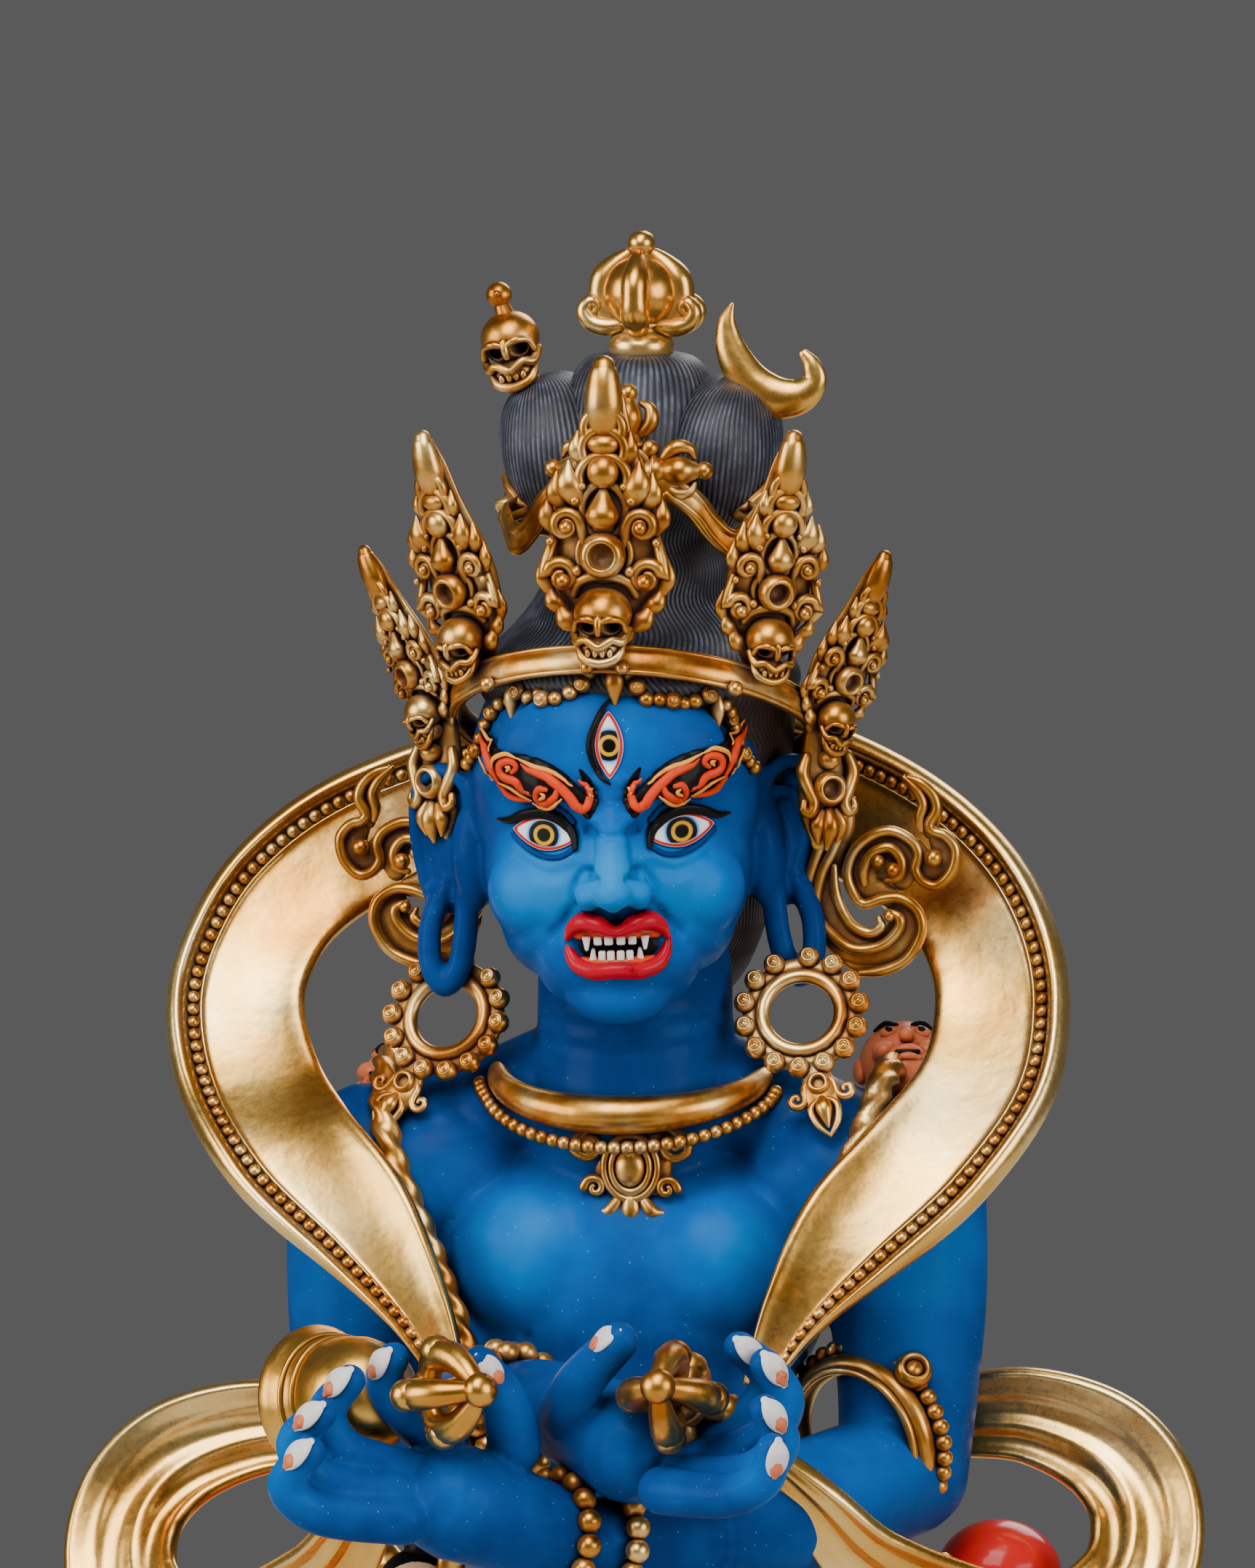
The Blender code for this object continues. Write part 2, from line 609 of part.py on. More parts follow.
def finial():
    """The half vajra on top of the topknot."""
    bm = bmesh.new()
    ring_limb(bm, (0, 5, 328.4), (2.4, 2.4), 1.5, count=20)
    ball(bm, (0, 5, 328.4), (3, 3, 1.4), fineness=2)
    ball(bm, (0, 5, 334.2), (4.9, 4.9, 5.2))
    ball(bm, (0, 5, 340.3), (1.7, 1.7, 1.7), fineness=2)
    for index in range(4):
        turn = pi / 2 * index
        reach = 5.6
        ball(bm, (reach * cos(turn), 5 + reach * sin(turn), 331.4), (1.7, 1.7, 1.5), fineness=2)
    obj = cast("topknot_finial", bm, voxel=0.4, triangles=210, rounds=1)
    paint(obj, GOLD, 0.25, 1)
    return obj


def topknot_skull():
    """The small skull on the viewer's left of the topknot."""
    bm = bmesh.new()
    ball(bm, (-14.6, 3, 327.5), (3.4, 3.6, 3.6))
    ball(bm, (-14, 1.6, 323.6), (2.7, 2.6, 2.4), fineness=2)
    ball(bm, (-16, 3, 332), (1.5, 1.5, 1.6), fineness=2)
    limb(bm, [(-13.6, 3.4, 324, 1.4), (-11.5, 4.5, 320.5, 1.2)], sides=8)
    obj = cast("topknot_skull", bm, voxel=0.35, triangles=140, rounds=1)
    paint(obj, GOLD, 0.3, 1)
    return obj


def crescent():
    """The crescent moon on the viewer's right of the topknot."""
    bm = bmesh.new()
    limb(bm, [(10.8, 3, 331.5, 0.6), (10.9, 3, 327.5, 1.6), (13.2, 3, 323, 2.3), (17.3, 3, 320.8, 2.2),
              (20, 3, 322.6, 1.4), (19.4, 3, 325.2, 0.6)], sides=12, flat=0.75)
    obj = cast("topknot_crescent", bm, voxel=0.35, triangles=120, rounds=1)
    paint(obj, GOLD, 0.2, 1)
    return obj


def topknot_ornament():
    """The crossed vajra in front of the topknot, with the strap that holds it."""
    bm = bmesh.new()
    ball(bm, (1, -9, 314), (2.4, 1.8, 2.4), fineness=2)
    for turn in (0, 90, 180, 270):
        toward = (cos(radians(turn)), sin(radians(turn)))
        limb(bm, [(1, -8.6, 314, 1.5), (1 + 4.2 * toward[0], -8.6, 314 + 4.2 * toward[1], 2.1),
                  (1 + 7.4 * toward[0], -8.2, 314 + 7.4 * toward[1], 1)], sides=8, flat=0.8)
    for side in (-1, 1):
        limb(bm, [(side * 7, -8, 311, 1), (side * 12.5, -5.5, 305, 1), (side * 16.5, 2, 310.5, 1),
                  (side * 15.5, 9, 306, 1), (side * 8, 16, 306, 1), (0, 17.6, 306, 1)], sides=8)
    obj = cast("topknot_ornament", bm, voxel=0.4, triangles=360, rounds=1)
    paint(obj, GOLD, 0.3, 1)
    return obj


def prongs(bm, centre, along, reach, length):
    """The closed cage of prongs at one end of a vajra, drawn as a ribbed bulb with a tip."""
    start, way = centre, along
    side = way.cross(Vector((0, 0, 1))).normalized()
    up = side.cross(way)
    for index in range(4):
        out = side * cos(pi / 2 * index) + up * sin(pi / 2 * index)
        stations = [(0.05, 0.35, 1.1), (0.35, 1, 1.3), (0.75, 0.75, 1.1), (1, 0.1, 0.9)]
        limb(bm, [(*(start + way * length * far + out * reach * wide), thick) for far, wide, thick in stations],
             steps=3, sides=8)
    limb(bm, [(*start, 1.3), (*(start + way * (length + 1.4)), 1.1)], steps=2, sides=8)


VAJRA_CENTRE = (13, -50, 212)
VAJRA_AXIS = (-0.05, -0.93, 0.32)
VAJRA_PRONGS = 10
BELL_CENTRE = (-14.5, -56.5, 212.5)
BELL_AXIS = (0.66, -0.74, 0.1)
# Along the bell from its handle's middle: how far back, and its share of the bell's radius
BELL_BODY = [(-6, 0.3), (-8, 0.72), (-10, 0.95), (-13.5, 1), (-17, 1.08), (-18.5, 1.25)]


def vajra():
    """The vajra, lying in the cupped hand with one end towards the viewer."""
    bm = bmesh.new()
    way = Vector(VAJRA_AXIS).normalized()
    centre = Vector(VAJRA_CENTRE)
    ball(bm, tuple(centre), (2.4, 2.4, 2.4), fineness=2)
    for direction in (way, -way):
        prongs(bm, centre + direction * 2, direction, VAJRA_REACH, VAJRA_PRONGS)
    obj = cast("vajra", bm, voxel=0.4, triangles=290, rounds=1)
    paint(obj, GOLD, 0.25, 1)
    return obj


def bell():
    """The hand bell: a half vajra for its handle towards the viewer and its domed body behind."""
    bm = bmesh.new()
    way = Vector(BELL_AXIS).normalized()
    centre = Vector(BELL_CENTRE)
    prongs(bm, centre + way * 1, way, VAJRA_REACH, 8)
    limb(bm, [(*(centre + way * 2), 2), (*(centre - way * 7), 2)], steps=2, sides=8)
    limb(bm, [(*(centre + way * far), BELL_RADIUS * share) for far, share in BELL_BODY], steps=3, sides=20)
    obj = cast("bell", bm, voxel=0.5, triangles=360, rounds=1)
    paint(obj, GOLD, 0.25, 1)
    return obj


def clear_scene():
    """Removes what the file starts with."""
    for obj in list(bpy.data.objects):
        bpy.data.objects.remove(obj)


def main():
    """Builds every piece, and cuts each back from the figure and from what is in place before it."""
    clear_scene()
    lotus_base()
    rooms = [room_for(figure())]
    makers = (
        crown, scarf_halo, lambda: scarf_loop("scarf_loop_right", 1), lambda: scarf_loop("scarf_loop_left", -1),
        lambda: earring("earring_right", 1), lambda: earring("earring_left", -1), finial, topknot_skull, crescent,
        topknot_ornament, vajra, bell,
    )
    for make in makers:
        piece = make()
        for room in rooms:
            if boxes_meet(piece, room):
                cut(piece, room)
        rooms.append(room_for(piece))


main()
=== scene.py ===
"""The looks of a gilded and painted metal statue of Chakrasamvara, dressed over its fixed frame.

Every shape is drawn in millimetres on the figure's own drawing, where the soles stand at
Drawing.sole, and is brought to its place in metres as it is finished. The figure faces -Y.
"Left" and "right" in the names are the viewer's, seen from the front.
"""

import logging
from collections.abc import Callable, Iterator, Sequence
from contextlib import contextmanager
from dataclasses import dataclass, field
from enum import Enum
from math import cos, pi, radians, sin, sqrt

import bmesh
import bpy
import numpy as np
from mathutils import Matrix, Vector
from mathutils.bvhtree import BVHTree


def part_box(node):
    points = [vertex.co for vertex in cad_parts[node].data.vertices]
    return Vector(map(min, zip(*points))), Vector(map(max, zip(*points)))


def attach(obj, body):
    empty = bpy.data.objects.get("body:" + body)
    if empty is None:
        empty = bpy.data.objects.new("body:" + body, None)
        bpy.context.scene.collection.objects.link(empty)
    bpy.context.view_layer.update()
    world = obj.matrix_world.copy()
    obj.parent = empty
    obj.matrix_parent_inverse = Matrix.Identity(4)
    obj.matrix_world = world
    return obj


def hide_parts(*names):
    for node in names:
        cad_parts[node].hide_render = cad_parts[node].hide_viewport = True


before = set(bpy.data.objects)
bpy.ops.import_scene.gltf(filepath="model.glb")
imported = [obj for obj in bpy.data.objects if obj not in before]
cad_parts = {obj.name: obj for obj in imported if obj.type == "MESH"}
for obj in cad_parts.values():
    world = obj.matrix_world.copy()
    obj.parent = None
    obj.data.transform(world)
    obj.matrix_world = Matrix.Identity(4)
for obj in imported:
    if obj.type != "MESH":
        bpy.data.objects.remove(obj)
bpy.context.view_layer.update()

BODY = "root"
MM = 0.001
SIDES = (-1, 1)

Point = tuple[float, float, float]
Station = tuple[float, ...]
Facing = Callable[[Vector], Vector]

log = logging.getLogger("statue")


class Slot(Enum):
    """The record's material slots."""

    GILDING = "gilding"
    BLUE = "blue_lacquer"
    HAIR = "hair_paint"
    RED = "red_lacquer"
    EYE = "eye_paint"
    FACE = "face_paint"


@dataclass(frozen=True)
class Drawing:
    """The drawing that all sizes are read from, and how it lies in the frame."""

    sole: float = 50.0
    base_top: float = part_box("lotus_base")[1].z

    def to_frame(self) -> Matrix:
        """The matrix from drawn millimetres to the frame's metres."""
        return Matrix.Translation((0, 0, self.base_top - self.sole * MM)) @ Matrix.Scale(MM, 4)


DRAWING = Drawing()


def linear(colour: str) -> tuple[float, float, float, float]:
    """Turns an sRGB hex colour to linear values.

    Args:
        colour: the colour as "#rrggbb".

    Returns:
        Red, green, blue and alpha, linear.
    """
    shares = [int(colour[i:i + 2], 16) / 255 for i in (1, 3, 5)]
    return (*(c / 12.92 if c <= 0.04045 else ((c + 0.055) / 1.055) ** 2.4 for c in shares), 1.0)


def spline(stations: Sequence[Station], steps: int) -> list[Station]:
    """A smooth curve through stations of any number of values each.

    Args:
        stations: the points that the curve passes, each with as many values as the others.
        steps: how many pieces each stretch between two stations gets.

    Returns:
        The curve's points, the last station included.
    """
    ends = [stations[0], *stations, stations[-1]]
    curve = []
    for before, start, end, after in zip(ends, ends[1:], ends[2:], ends[3:]):
        for step in range(steps):
            t = step / steps
            point = []
            for a, b, c, d in zip(before, start, end, after):
                bend = (2 * a - 5 * b + 4 * c - d) * t**2 + (3 * b - a - 3 * c + d) * t**3
                point.append(0.5 * (2 * b + (c - a) * t + bend))
            curve.append(tuple(point))
    return [*curve, tuple(stations[-1])]


def directions(points: Sequence[Vector]) -> list[Vector]:
    """The unit direction of a path at each of its points."""
    ends = [points[0], *points, points[-1]]
    return [(after - before).normalized() for before, after in zip(ends, ends[2:])]


def turned_by(turn: Point) -> Matrix:
    """A rotation by degrees round X, then Y, then Z."""
    matrix = Matrix.Rotation(radians(turn[2]), 4, "Z") @ Matrix.Rotation(radians(turn[1]), 4, "Y")
    return matrix @ Matrix.Rotation(radians(turn[0]), 4, "X")


def around(count: int) -> list[float]:
    """The angles of so many places evenly round a full turn."""
    return [2 * pi * index / count for index in range(count)]


def mirrored(stations: Sequence[Station], side: int = -1) -> list[Station]:
    """The same stations with their X times the side's sign."""
    return [(side * station[0], *station[1:]) for station in stations]


def walk(stations: Sequence[Station], spacing: float) -> list[Vector]:
    """Points at an even spacing along a smooth curve.

    Args:
        stations: the points that the curve passes; values after the first three are ignored.
        spacing: the distance between two points, in millimetres.

    Returns:
        The points, from the curve's start to near its end.
    """
    fine = [Vector(station[:3]) for station in spline(stations, 24)]
    lengths = [0.0]
    for one, other in zip(fine, fine[1:]):
        lengths.append(lengths[-1] + (other - one).length)
    count = max(2, round(lengths[-1] / spacing) + 1)
    wanted = np.linspace(0, lengths[-1], count)
    axes = [np.interp(wanted, lengths, [point[axis] for point in fine]) for axis in range(3)]
    return [Vector(point) for point in zip(*axes)]


class Shape:
    """A mesh in the making, in drawn millimetres."""

    CAP = (75, 50, 25)

    def __init__(self) -> None:
        """Starts with nothing in it."""
        self.bm = bmesh.new()
        self.bm.verts.layers.float.new("strand")

    @contextmanager
    def part(self) -> Iterator[bmesh.types.BMesh]:
        """A small mesh that is joined once it is made: operators are slow on a large one."""
        own = bmesh.new()
        yield own
        mesh = bpy.data.meshes.new("part")
        own.to_mesh(mesh)
        own.free()
        self.bm.from_mesh(mesh)
        bpy.data.meshes.remove(mesh)

    def sweep(self, rings: Sequence[Sequence[Vector]], marks: Sequence[float] | None = None) -> None:
        """Grows a closed solid through rings of points by extruding one face along them.

        Args:
            rings: the rings, each with as many points as the others.
            marks: the value of the strand attribute at each place round a ring, or None for nought.
        """
        with self.part() as own:
            strand = own.verts.layers.float.new("strand")
            face = own.faces.new([own.verts.new(point) for point in rings[0]])
            for index, ring in enumerate(rings):
                if index:
                    grown = bmesh.ops.extrude_face_region(own,
                                                          geom=[face, *face.edges, *face.verts])["geom"]
                    face = next(item for item in grown if isinstance(item, bmesh.types.BMFace))
                for place, (vertex, point) in enumerate(zip(face.verts, ring)):
                    vertex.co = point
                    vertex[strand] = marks[place] if marks else 0

    def ball(self, centre: Point, radii: Point | float, turn: Point = (0, 0, 0), fineness: int = 4) -> None:
        """An ellipsoid.

        Args:
            centre: its middle.
            radii: its three radii, or one for a sphere.
            turn: its turn round X, Y and Z in degrees.
            fineness: how often its faces are divided.
        """
        radii = radii if isinstance(radii, tuple) else (radii, radii, radii)
        matrix = Matrix.Translation(centre) @ turned_by(turn) @ Matrix.Diagonal((*radii, 1))
        with self.part() as own:
            bmesh.ops.create_icosphere(own, subdivisions=fineness, radius=1, matrix=matrix)

    def limb(
        self,
        stations: Sequence[Station],
        steps: int = 5,
        sides: int = 14,
        flat: float = 1.0,
        facing: Facing | Point = (0, 1, 0),
        lobes: int = 0,
        groove: float = 0.0,
        twist: float = 0.0,
    ) -> None:
        """A round-ended limb.

        Args:
            stations: (x, y, z, radius) along it.
            steps: how finely it bends between two stations.
            sides: points round it.
            flat: its depth over its width.
            facing: the direction of its depth, or what gives that direction at a point.
            lobes: strands round it, as on a rope.
            groove: how deep the strands are parted, as a share of its radius.
            twist: turns of the strands for each millimetre.
        """
        path = spline(stations, steps)
        points = [Vector(station[:3]) for station in path]
        ways = directions(points)
        marks = [(point, way, station[3]) for point, way, station in zip(points, ways, path)]
        first, last = marks[0], marks[-1]
        before = [(first[0] - first[1] * first[2] * sin(radians(a)), first[1], first[2] * cos(radians(a)))
                  for a in self.CAP]
        after = [(last[0] + last[1] * last[2] * sin(radians(a)), last[1], last[2] * cos(radians(a)))
                 for a in reversed(self.CAP)]
        side = Vector(facing) if isinstance(facing, tuple) else Vector((0, -1, 0))
        rings, run, last_point = [], 0.0, before[0][0]
        for point, way, radius in [*before, *marks, *after]:
            if not isinstance(facing, tuple):
                side = facing(point)
            side = (side - way * side.dot(way)).normalized()
            across = way.cross(side)
            run += (point - last_point).length
            last_point = point
            ring = []
            for a in around(sides):
                reach = radius * (1 - groove * (0.5 + 0.5 * cos(lobes * a + 2 * pi * twist * lobes * run)))
                ring.append(point + reach * (cos(a) * across + flat * sin(a) * side))
            rings.append(ring)
        self.sweep(rings)

    def ring(
        self, centre: Point, radii: tuple[float, float], tube: float, turn: Point = (0, 0, 0),
        count: int = 72, sides: int = 12, tall: float = 1.0,
    ) -> None:
        """A closed ring of round tube, made by a full spin.

        Args:
            centre: its middle.
            radii: its reach in X and Y before it is turned.
            tube: the radius of its tube.
            turn: its turn round X, Y and Z in degrees.
            count: steps round it.
            sides: points round its tube.
            tall: the tube's height over its width.
        """
        with self.part() as own:
            start = bmesh.ops.create_circle(own, cap_ends=False, radius=tube, segments=sides)["verts"]
            bmesh.ops.rotate(own, verts=start, matrix=Matrix.Rotation(pi / 2, 3, "X"))
            bmesh.ops.scale(own, verts=start, vec=(1, 1, tall))
            bmesh.ops.translate(own, verts=start, vec=(radii[0], 0, 0))
            bmesh.ops.spin(own, geom=own.edges[:], axis=(0, 0, 1), angle=2 * pi, steps=count,
                           use_merge=True)
            place = Matrix.Translation(centre) @ turned_by(turn) @ Matrix.Diagonal((1, radii[1] / radii[0],
                    1, 1))
            bmesh.ops.transform(own, verts=own.verts[:], matrix=place)

    def turned(self, profile: Sequence[tuple[float, float]], base: Point, axis: Point,
               count: int = 40) -> None:
        """A solid turned on a lathe.

        Args:
            profile: (radius, height) from its foot to its tip.
            base: the place of height nought.
            axis: the direction of its height.
            count: steps round it.
        """
        place = Matrix.Translation(base) @ Vector(axis).to_track_quat("Z", "Y").to_matrix().to_4x4()
        with self.part() as own:
            verts = [own.verts.new((radius, 0, height)) for radius, height in profile]
            edges = [own.edges.new(pair) for pair in zip(verts, verts[1:])]
            bmesh.ops.spin(
                own, geom=[*verts, *edges], axis=(0, 0, 1), angle=2 * pi, steps=count, use_merge=True
            )
            bmesh.ops.remove_doubles(own, verts=own.verts[:], dist=1e-4)
            bmesh.ops.transform(own, verts=own.verts[:], matrix=place)

    def scroll(self, centre: Point, start: float, turns: float, tube: float, hand: int, turn: float = 0.0,
               flat: float = 0.9, tail: Sequence[Station] = ()) -> None:
        """A volute that winds inwards in a plane that faces the viewer.

        Args:
            centre: its eye.
            start: its outer radius.
            turns: how often it goes round.
            tube: the radius of its rib, which thins inwards.
            hand: 1 to wind anticlockwise, -1 clockwise.
            turn: where it starts, in degrees.
            flat: the rib's depth over its width.
            tail: stations that lead to its start.
        """
        count = max(6, round(8 * turns))
        stations = list(tail)
        for index in range(count + 1):
            share = index / count
            angle = radians(turn) + hand * 2 * pi * turns * share
            reach = start * (1 - 0.78 * share)
            stations.append((centre[0] + reach * cos(angle), centre[1], centre[2] + reach * sin(angle),
                             tube * (1 - 0.45 * share)))
        self.limb(stations, steps=2, sides=8, flat=flat)

    def cup(self, centre: Point, radius: float, axis: Point = (0, -1, 0), hole: float = 0.55) -> None:
        """A bezel: a low round cup whose middle is sunk.

        Args:
            centre: the middle of its foot.
            radius: its radius.
            axis: the way it opens.
            hole: the hole's radius as a share of the cup's.
        """
        profile = [(0, 0), (radius, 0), (radius * 1.05, radius * 0.45), (radius * 0.86, radius * 0.85),
                   (radius * (hole + 0.08), radius * 0.92), (radius * hole, radius * 0.8),
                   (radius * hole * 0.92, radius * 0.2), (0, radius * 0.15)]
        self.turned(profile, centre, axis, 20)

    def gem(self, centre: Point, radius: float, axis: Point = (0, -1, 0)) -> None:
        """A bezel bead: a ball with a fine ring and a small ball set in it on its outer side."""
        way = Vector(axis).normalized()
        self.ball(centre, radius, fineness=3)
        top = Vector(centre) + way * radius * 0.72
        profile = [(radius * 0.62, -radius * 0.1), (radius * 0.66, radius * 0.18),
                   (radius * 0.5, radius * 0.22), (radius * 0.46, radius * 0.02),
                   (radius * 0.36, radius * 0.02), (radius * 0.26, radius * 0.24), (0, radius * 0.33)]
        self.turned(profile, tuple(top), tuple(way), 16)

    def add(self, mesh: bpy.types.Mesh, matrix: Matrix) -> None:
        """Adds a copy of a mesh, moved by a matrix."""
        with self.part() as own:
            own.from_mesh(mesh)
            bmesh.ops.transform(own, verts=own.verts[:], matrix=matrix)

    def move(self, matrix: Matrix) -> "Shape":
        """Moves all that it holds."""
        bmesh.ops.transform(self.bm, verts=self.bm.verts[:], matrix=matrix)
        return self

    def mesh(self) -> bpy.types.Mesh:
        """Gives its mesh, faces outwards, and empties it."""
        bmesh.ops.recalc_face_normals(self.bm, faces=self.bm.faces[:])
        mesh = bpy.data.meshes.new("shape")
        self.bm.to_mesh(mesh)
        self.bm.free()
        return mesh

    def skin(self, voxel: float, rounds: int) -> bpy.types.Mesh:
        """One closed skin over all that it holds.

        Args:
            voxel: the size of the skin's faces, in millimetres.
            rounds: how often it is softened.

        Returns:
            The skin's mesh, in drawn millimetres.
        """
        obj = bpy.data.objects.new("skin", self.mesh())
        bpy.context.scene.collection.objects.link(obj)
        wrap = obj.modifiers.new("skin", "REMESH")
        wrap.mode = "VOXEL"
        wrap.voxel_size = voxel
        soft = obj.modifiers.new("soft", "SMOOTH")
        soft.iterations = rounds
        soft.factor = 0.5
        bpy.context.view_layer.update()
        graph = bpy.context.evaluated_depsgraph_get()
        mesh = bpy.data.meshes.new_from_object(obj.evaluated_get(graph), depsgraph=graph)
        bpy.data.objects.remove(obj)
        return mesh


class Surface:
    """A mesh that other pieces are laid on."""

    def __init__(self, *meshes: bpy.types.Mesh, matrix: Matrix | None = None) -> None:
        """Reads the meshes, moved by a matrix where one is given."""
        bm = bmesh.new()
        for mesh in meshes:
            bm.from_mesh(mesh)
        if matrix:
            bmesh.ops.transform(bm, verts=bm.verts[:], matrix=matrix)
        self.tree = BVHTree.FromBMesh(bm)
        bm.free()

    def front(self, x: float, z: float, lift: float = 0.0) -> Vector:
        """The point that is met from the front at a place, lifted off the surface."""
        hit, normal, _, _ = self.tree.ray_cast(Vector((x, -200, z)), Vector((0, 1, 0)))
        return hit + normal * lift if hit else Vector((x, 0, z))

    def towards(self, centre: Point, way: Vector, lift: float = 0.0) -> Vector:
        """The point that is met when looking in along a way at a centre, lifted off the surface."""
        start = Vector(centre) + way.normalized() * 100
        hit, normal, _, _ = self.tree.ray_cast(start, -way.normalized())
        return hit + normal * lift if hit else Vector(centre)

    def normal(self, point: Vector) -> Vector:
        """The surface's normal nearest to a point."""
        return self.tree.find_nearest(point)[1]

    def lay(self, stations: Sequence[Station], lift: float = 0.0, steps: int = 4) -> list[Station]:
        """Lays (x, z, radius) stations on the surface from the front.

        Args:
            stations: the places, each with a radius.
            lift: how far they stand off the surface.
            steps: how finely the curve between them follows the surface.

        Returns:
            (x, y, z, radius) stations.
        """
        return [(*self.front(x, z, lift), radius) for x, z, radius in spline(stations, steps)]


class Sculpt:
    """Fine work on a mesh's points: strokes, swellings and stored values of painted light and shade."""

    def __init__(self, mesh: bpy.types.Mesh) -> None:
        """Reads the mesh's points and normals."""
        self.mesh = mesh
        count = len(mesh.vertices)
        self.points = np.empty(count * 3, np.float32)
        mesh.vertices.foreach_get("co", self.points)
        self.points = self.points.reshape(-1, 3).astype(float)
        self.normals = np.empty(count * 3, np.float32)
        mesh.vertex_normals.foreach_get("vector", self.normals)
        self.normals = self.normals.reshape(-1, 3).astype(float)

    def near(self, path: Sequence[Point]) -> np.ndarray:
        """The distance of each point to a path's points."""
        least = np.full(len(self.points), np.inf)
        for spot in path:
            least = np.minimum(least, np.linalg.norm(self.points - np.array(spot), axis=1))
        return least

    def stroke(self, path: Sequence[Station], radius: float, depth: float, steps: int = 8) -> None:
        """Presses a rounded groove along a curve, or raises it where the depth is negative."""
        curve = [station[:3] for station in spline(path, steps)]
        share = np.exp(-((self.near(curve) / radius) ** 2) * 2.5)
        self.points -= self.normals * (share * depth)[:, None]

    def push(self, centre: Point, radii: Point, way: Point) -> None:
        """Moves the points inside a soft ellipsoid by a way."""
        off = (self.points - np.array(centre)) / np.array(radii)
        share = np.exp(-((off**2).sum(axis=1) ** 2) * 1.5)
        self.points += share[:, None] * np.array(way)

    def airbrush_and_painted_light(self, spots: Sequence[tuple[Point, float, float]], base: float = 0.0) -> None:
        """Stores how light the paint is at each point: airbrushed tone that also carries painted
        highlights, and painted shade where a spot's strength is negative.

        Args:
            spots: (centre, radius, strength) of each light place.
            base: the value elsewhere.
        """
        value = np.full(len(self.points), base)
        for centre, radius, strength in spots:
            far = np.linalg.norm(self.points - np.array(centre), axis=1)
            value += strength * np.exp(-((far / radius) ** 2))
        layer = self.mesh.attributes.new("airbrush_and_painted_light", "FLOAT", "POINT")
        layer.data.foreach_set("value", np.clip(value, 0, 1).astype(np.float32))

    def done(self) -> bpy.types.Mesh:
        """Writes the points back and gives the mesh."""
        self.mesh.vertices.foreach_set("co", self.points.astype(np.float32).ravel())
        self.mesh.update()
        return self.mesh


def per_mm(size: float) -> float:
    """The scale of a pattern whose features are so many millimetres apart."""
    return 1 / (size * MM)


class Paint:
    """A new material, its shader, the Object coordinates and the nodes that are added to it."""

    def __init__(self, name: str) -> None:
        """Starts with the shader and the coordinates alone."""
        self.material = bpy.data.materials.new(name)
        self.material.use_nodes = True
        self.tree = self.material.node_tree
        self.shader = self.tree.nodes["Principled BSDF"]
        self.coords = self.add("TexCoord").outputs["Object"]

    def add(self, kind: str, settings: dict | None = None, links: dict | None = None) -> bpy.types.Node:
        """Adds a node with its settings and links.

        Args:
            kind: the node's type.
            settings: properties by name, sockets' values by name or number, and a colour ramp's stops.
            links: what feeds each input, by name or number: a socket, or a node for its first output.

        Returns:
            The node.
        """
        node = self.tree.nodes.new("ShaderNode" + kind)
        for key, value in (settings or {}).items():
            if key == "stops":
                ramp = node.color_ramp
                for index, (place, colour) in enumerate(value):
                    stop = ramp.elements[index] if index < 2 else ramp.elements.new(place)
                    stop.position = place
                    stop.color = linear(colour)
            elif isinstance(key, int) or key in node.inputs:
                node.inputs[key].default_value = value
            else:
                setattr(node, key, value)
        self.feed(node, links or {})
        return node

    def feed(self, node: bpy.types.Node, links: dict) -> None:
        """Links sockets, or nodes' first outputs, to a node's inputs."""
        for key, source in links.items():
            socket = source.outputs[0] if isinstance(source, bpy.types.Node) else source
            self.tree.links.new(socket, node.inputs[key])

    def done(self, links: dict, values: dict) -> bpy.types.Material:
        """Links and sets the shader's own sockets and gives the material."""
        self.feed(self.shader, links)
        for key, value in values.items():
            self.shader.inputs[key].default_value = value
        return self.material


@dataclass(frozen=True)
class Finish:
    """What every finish shares: a named material."""

    name: str


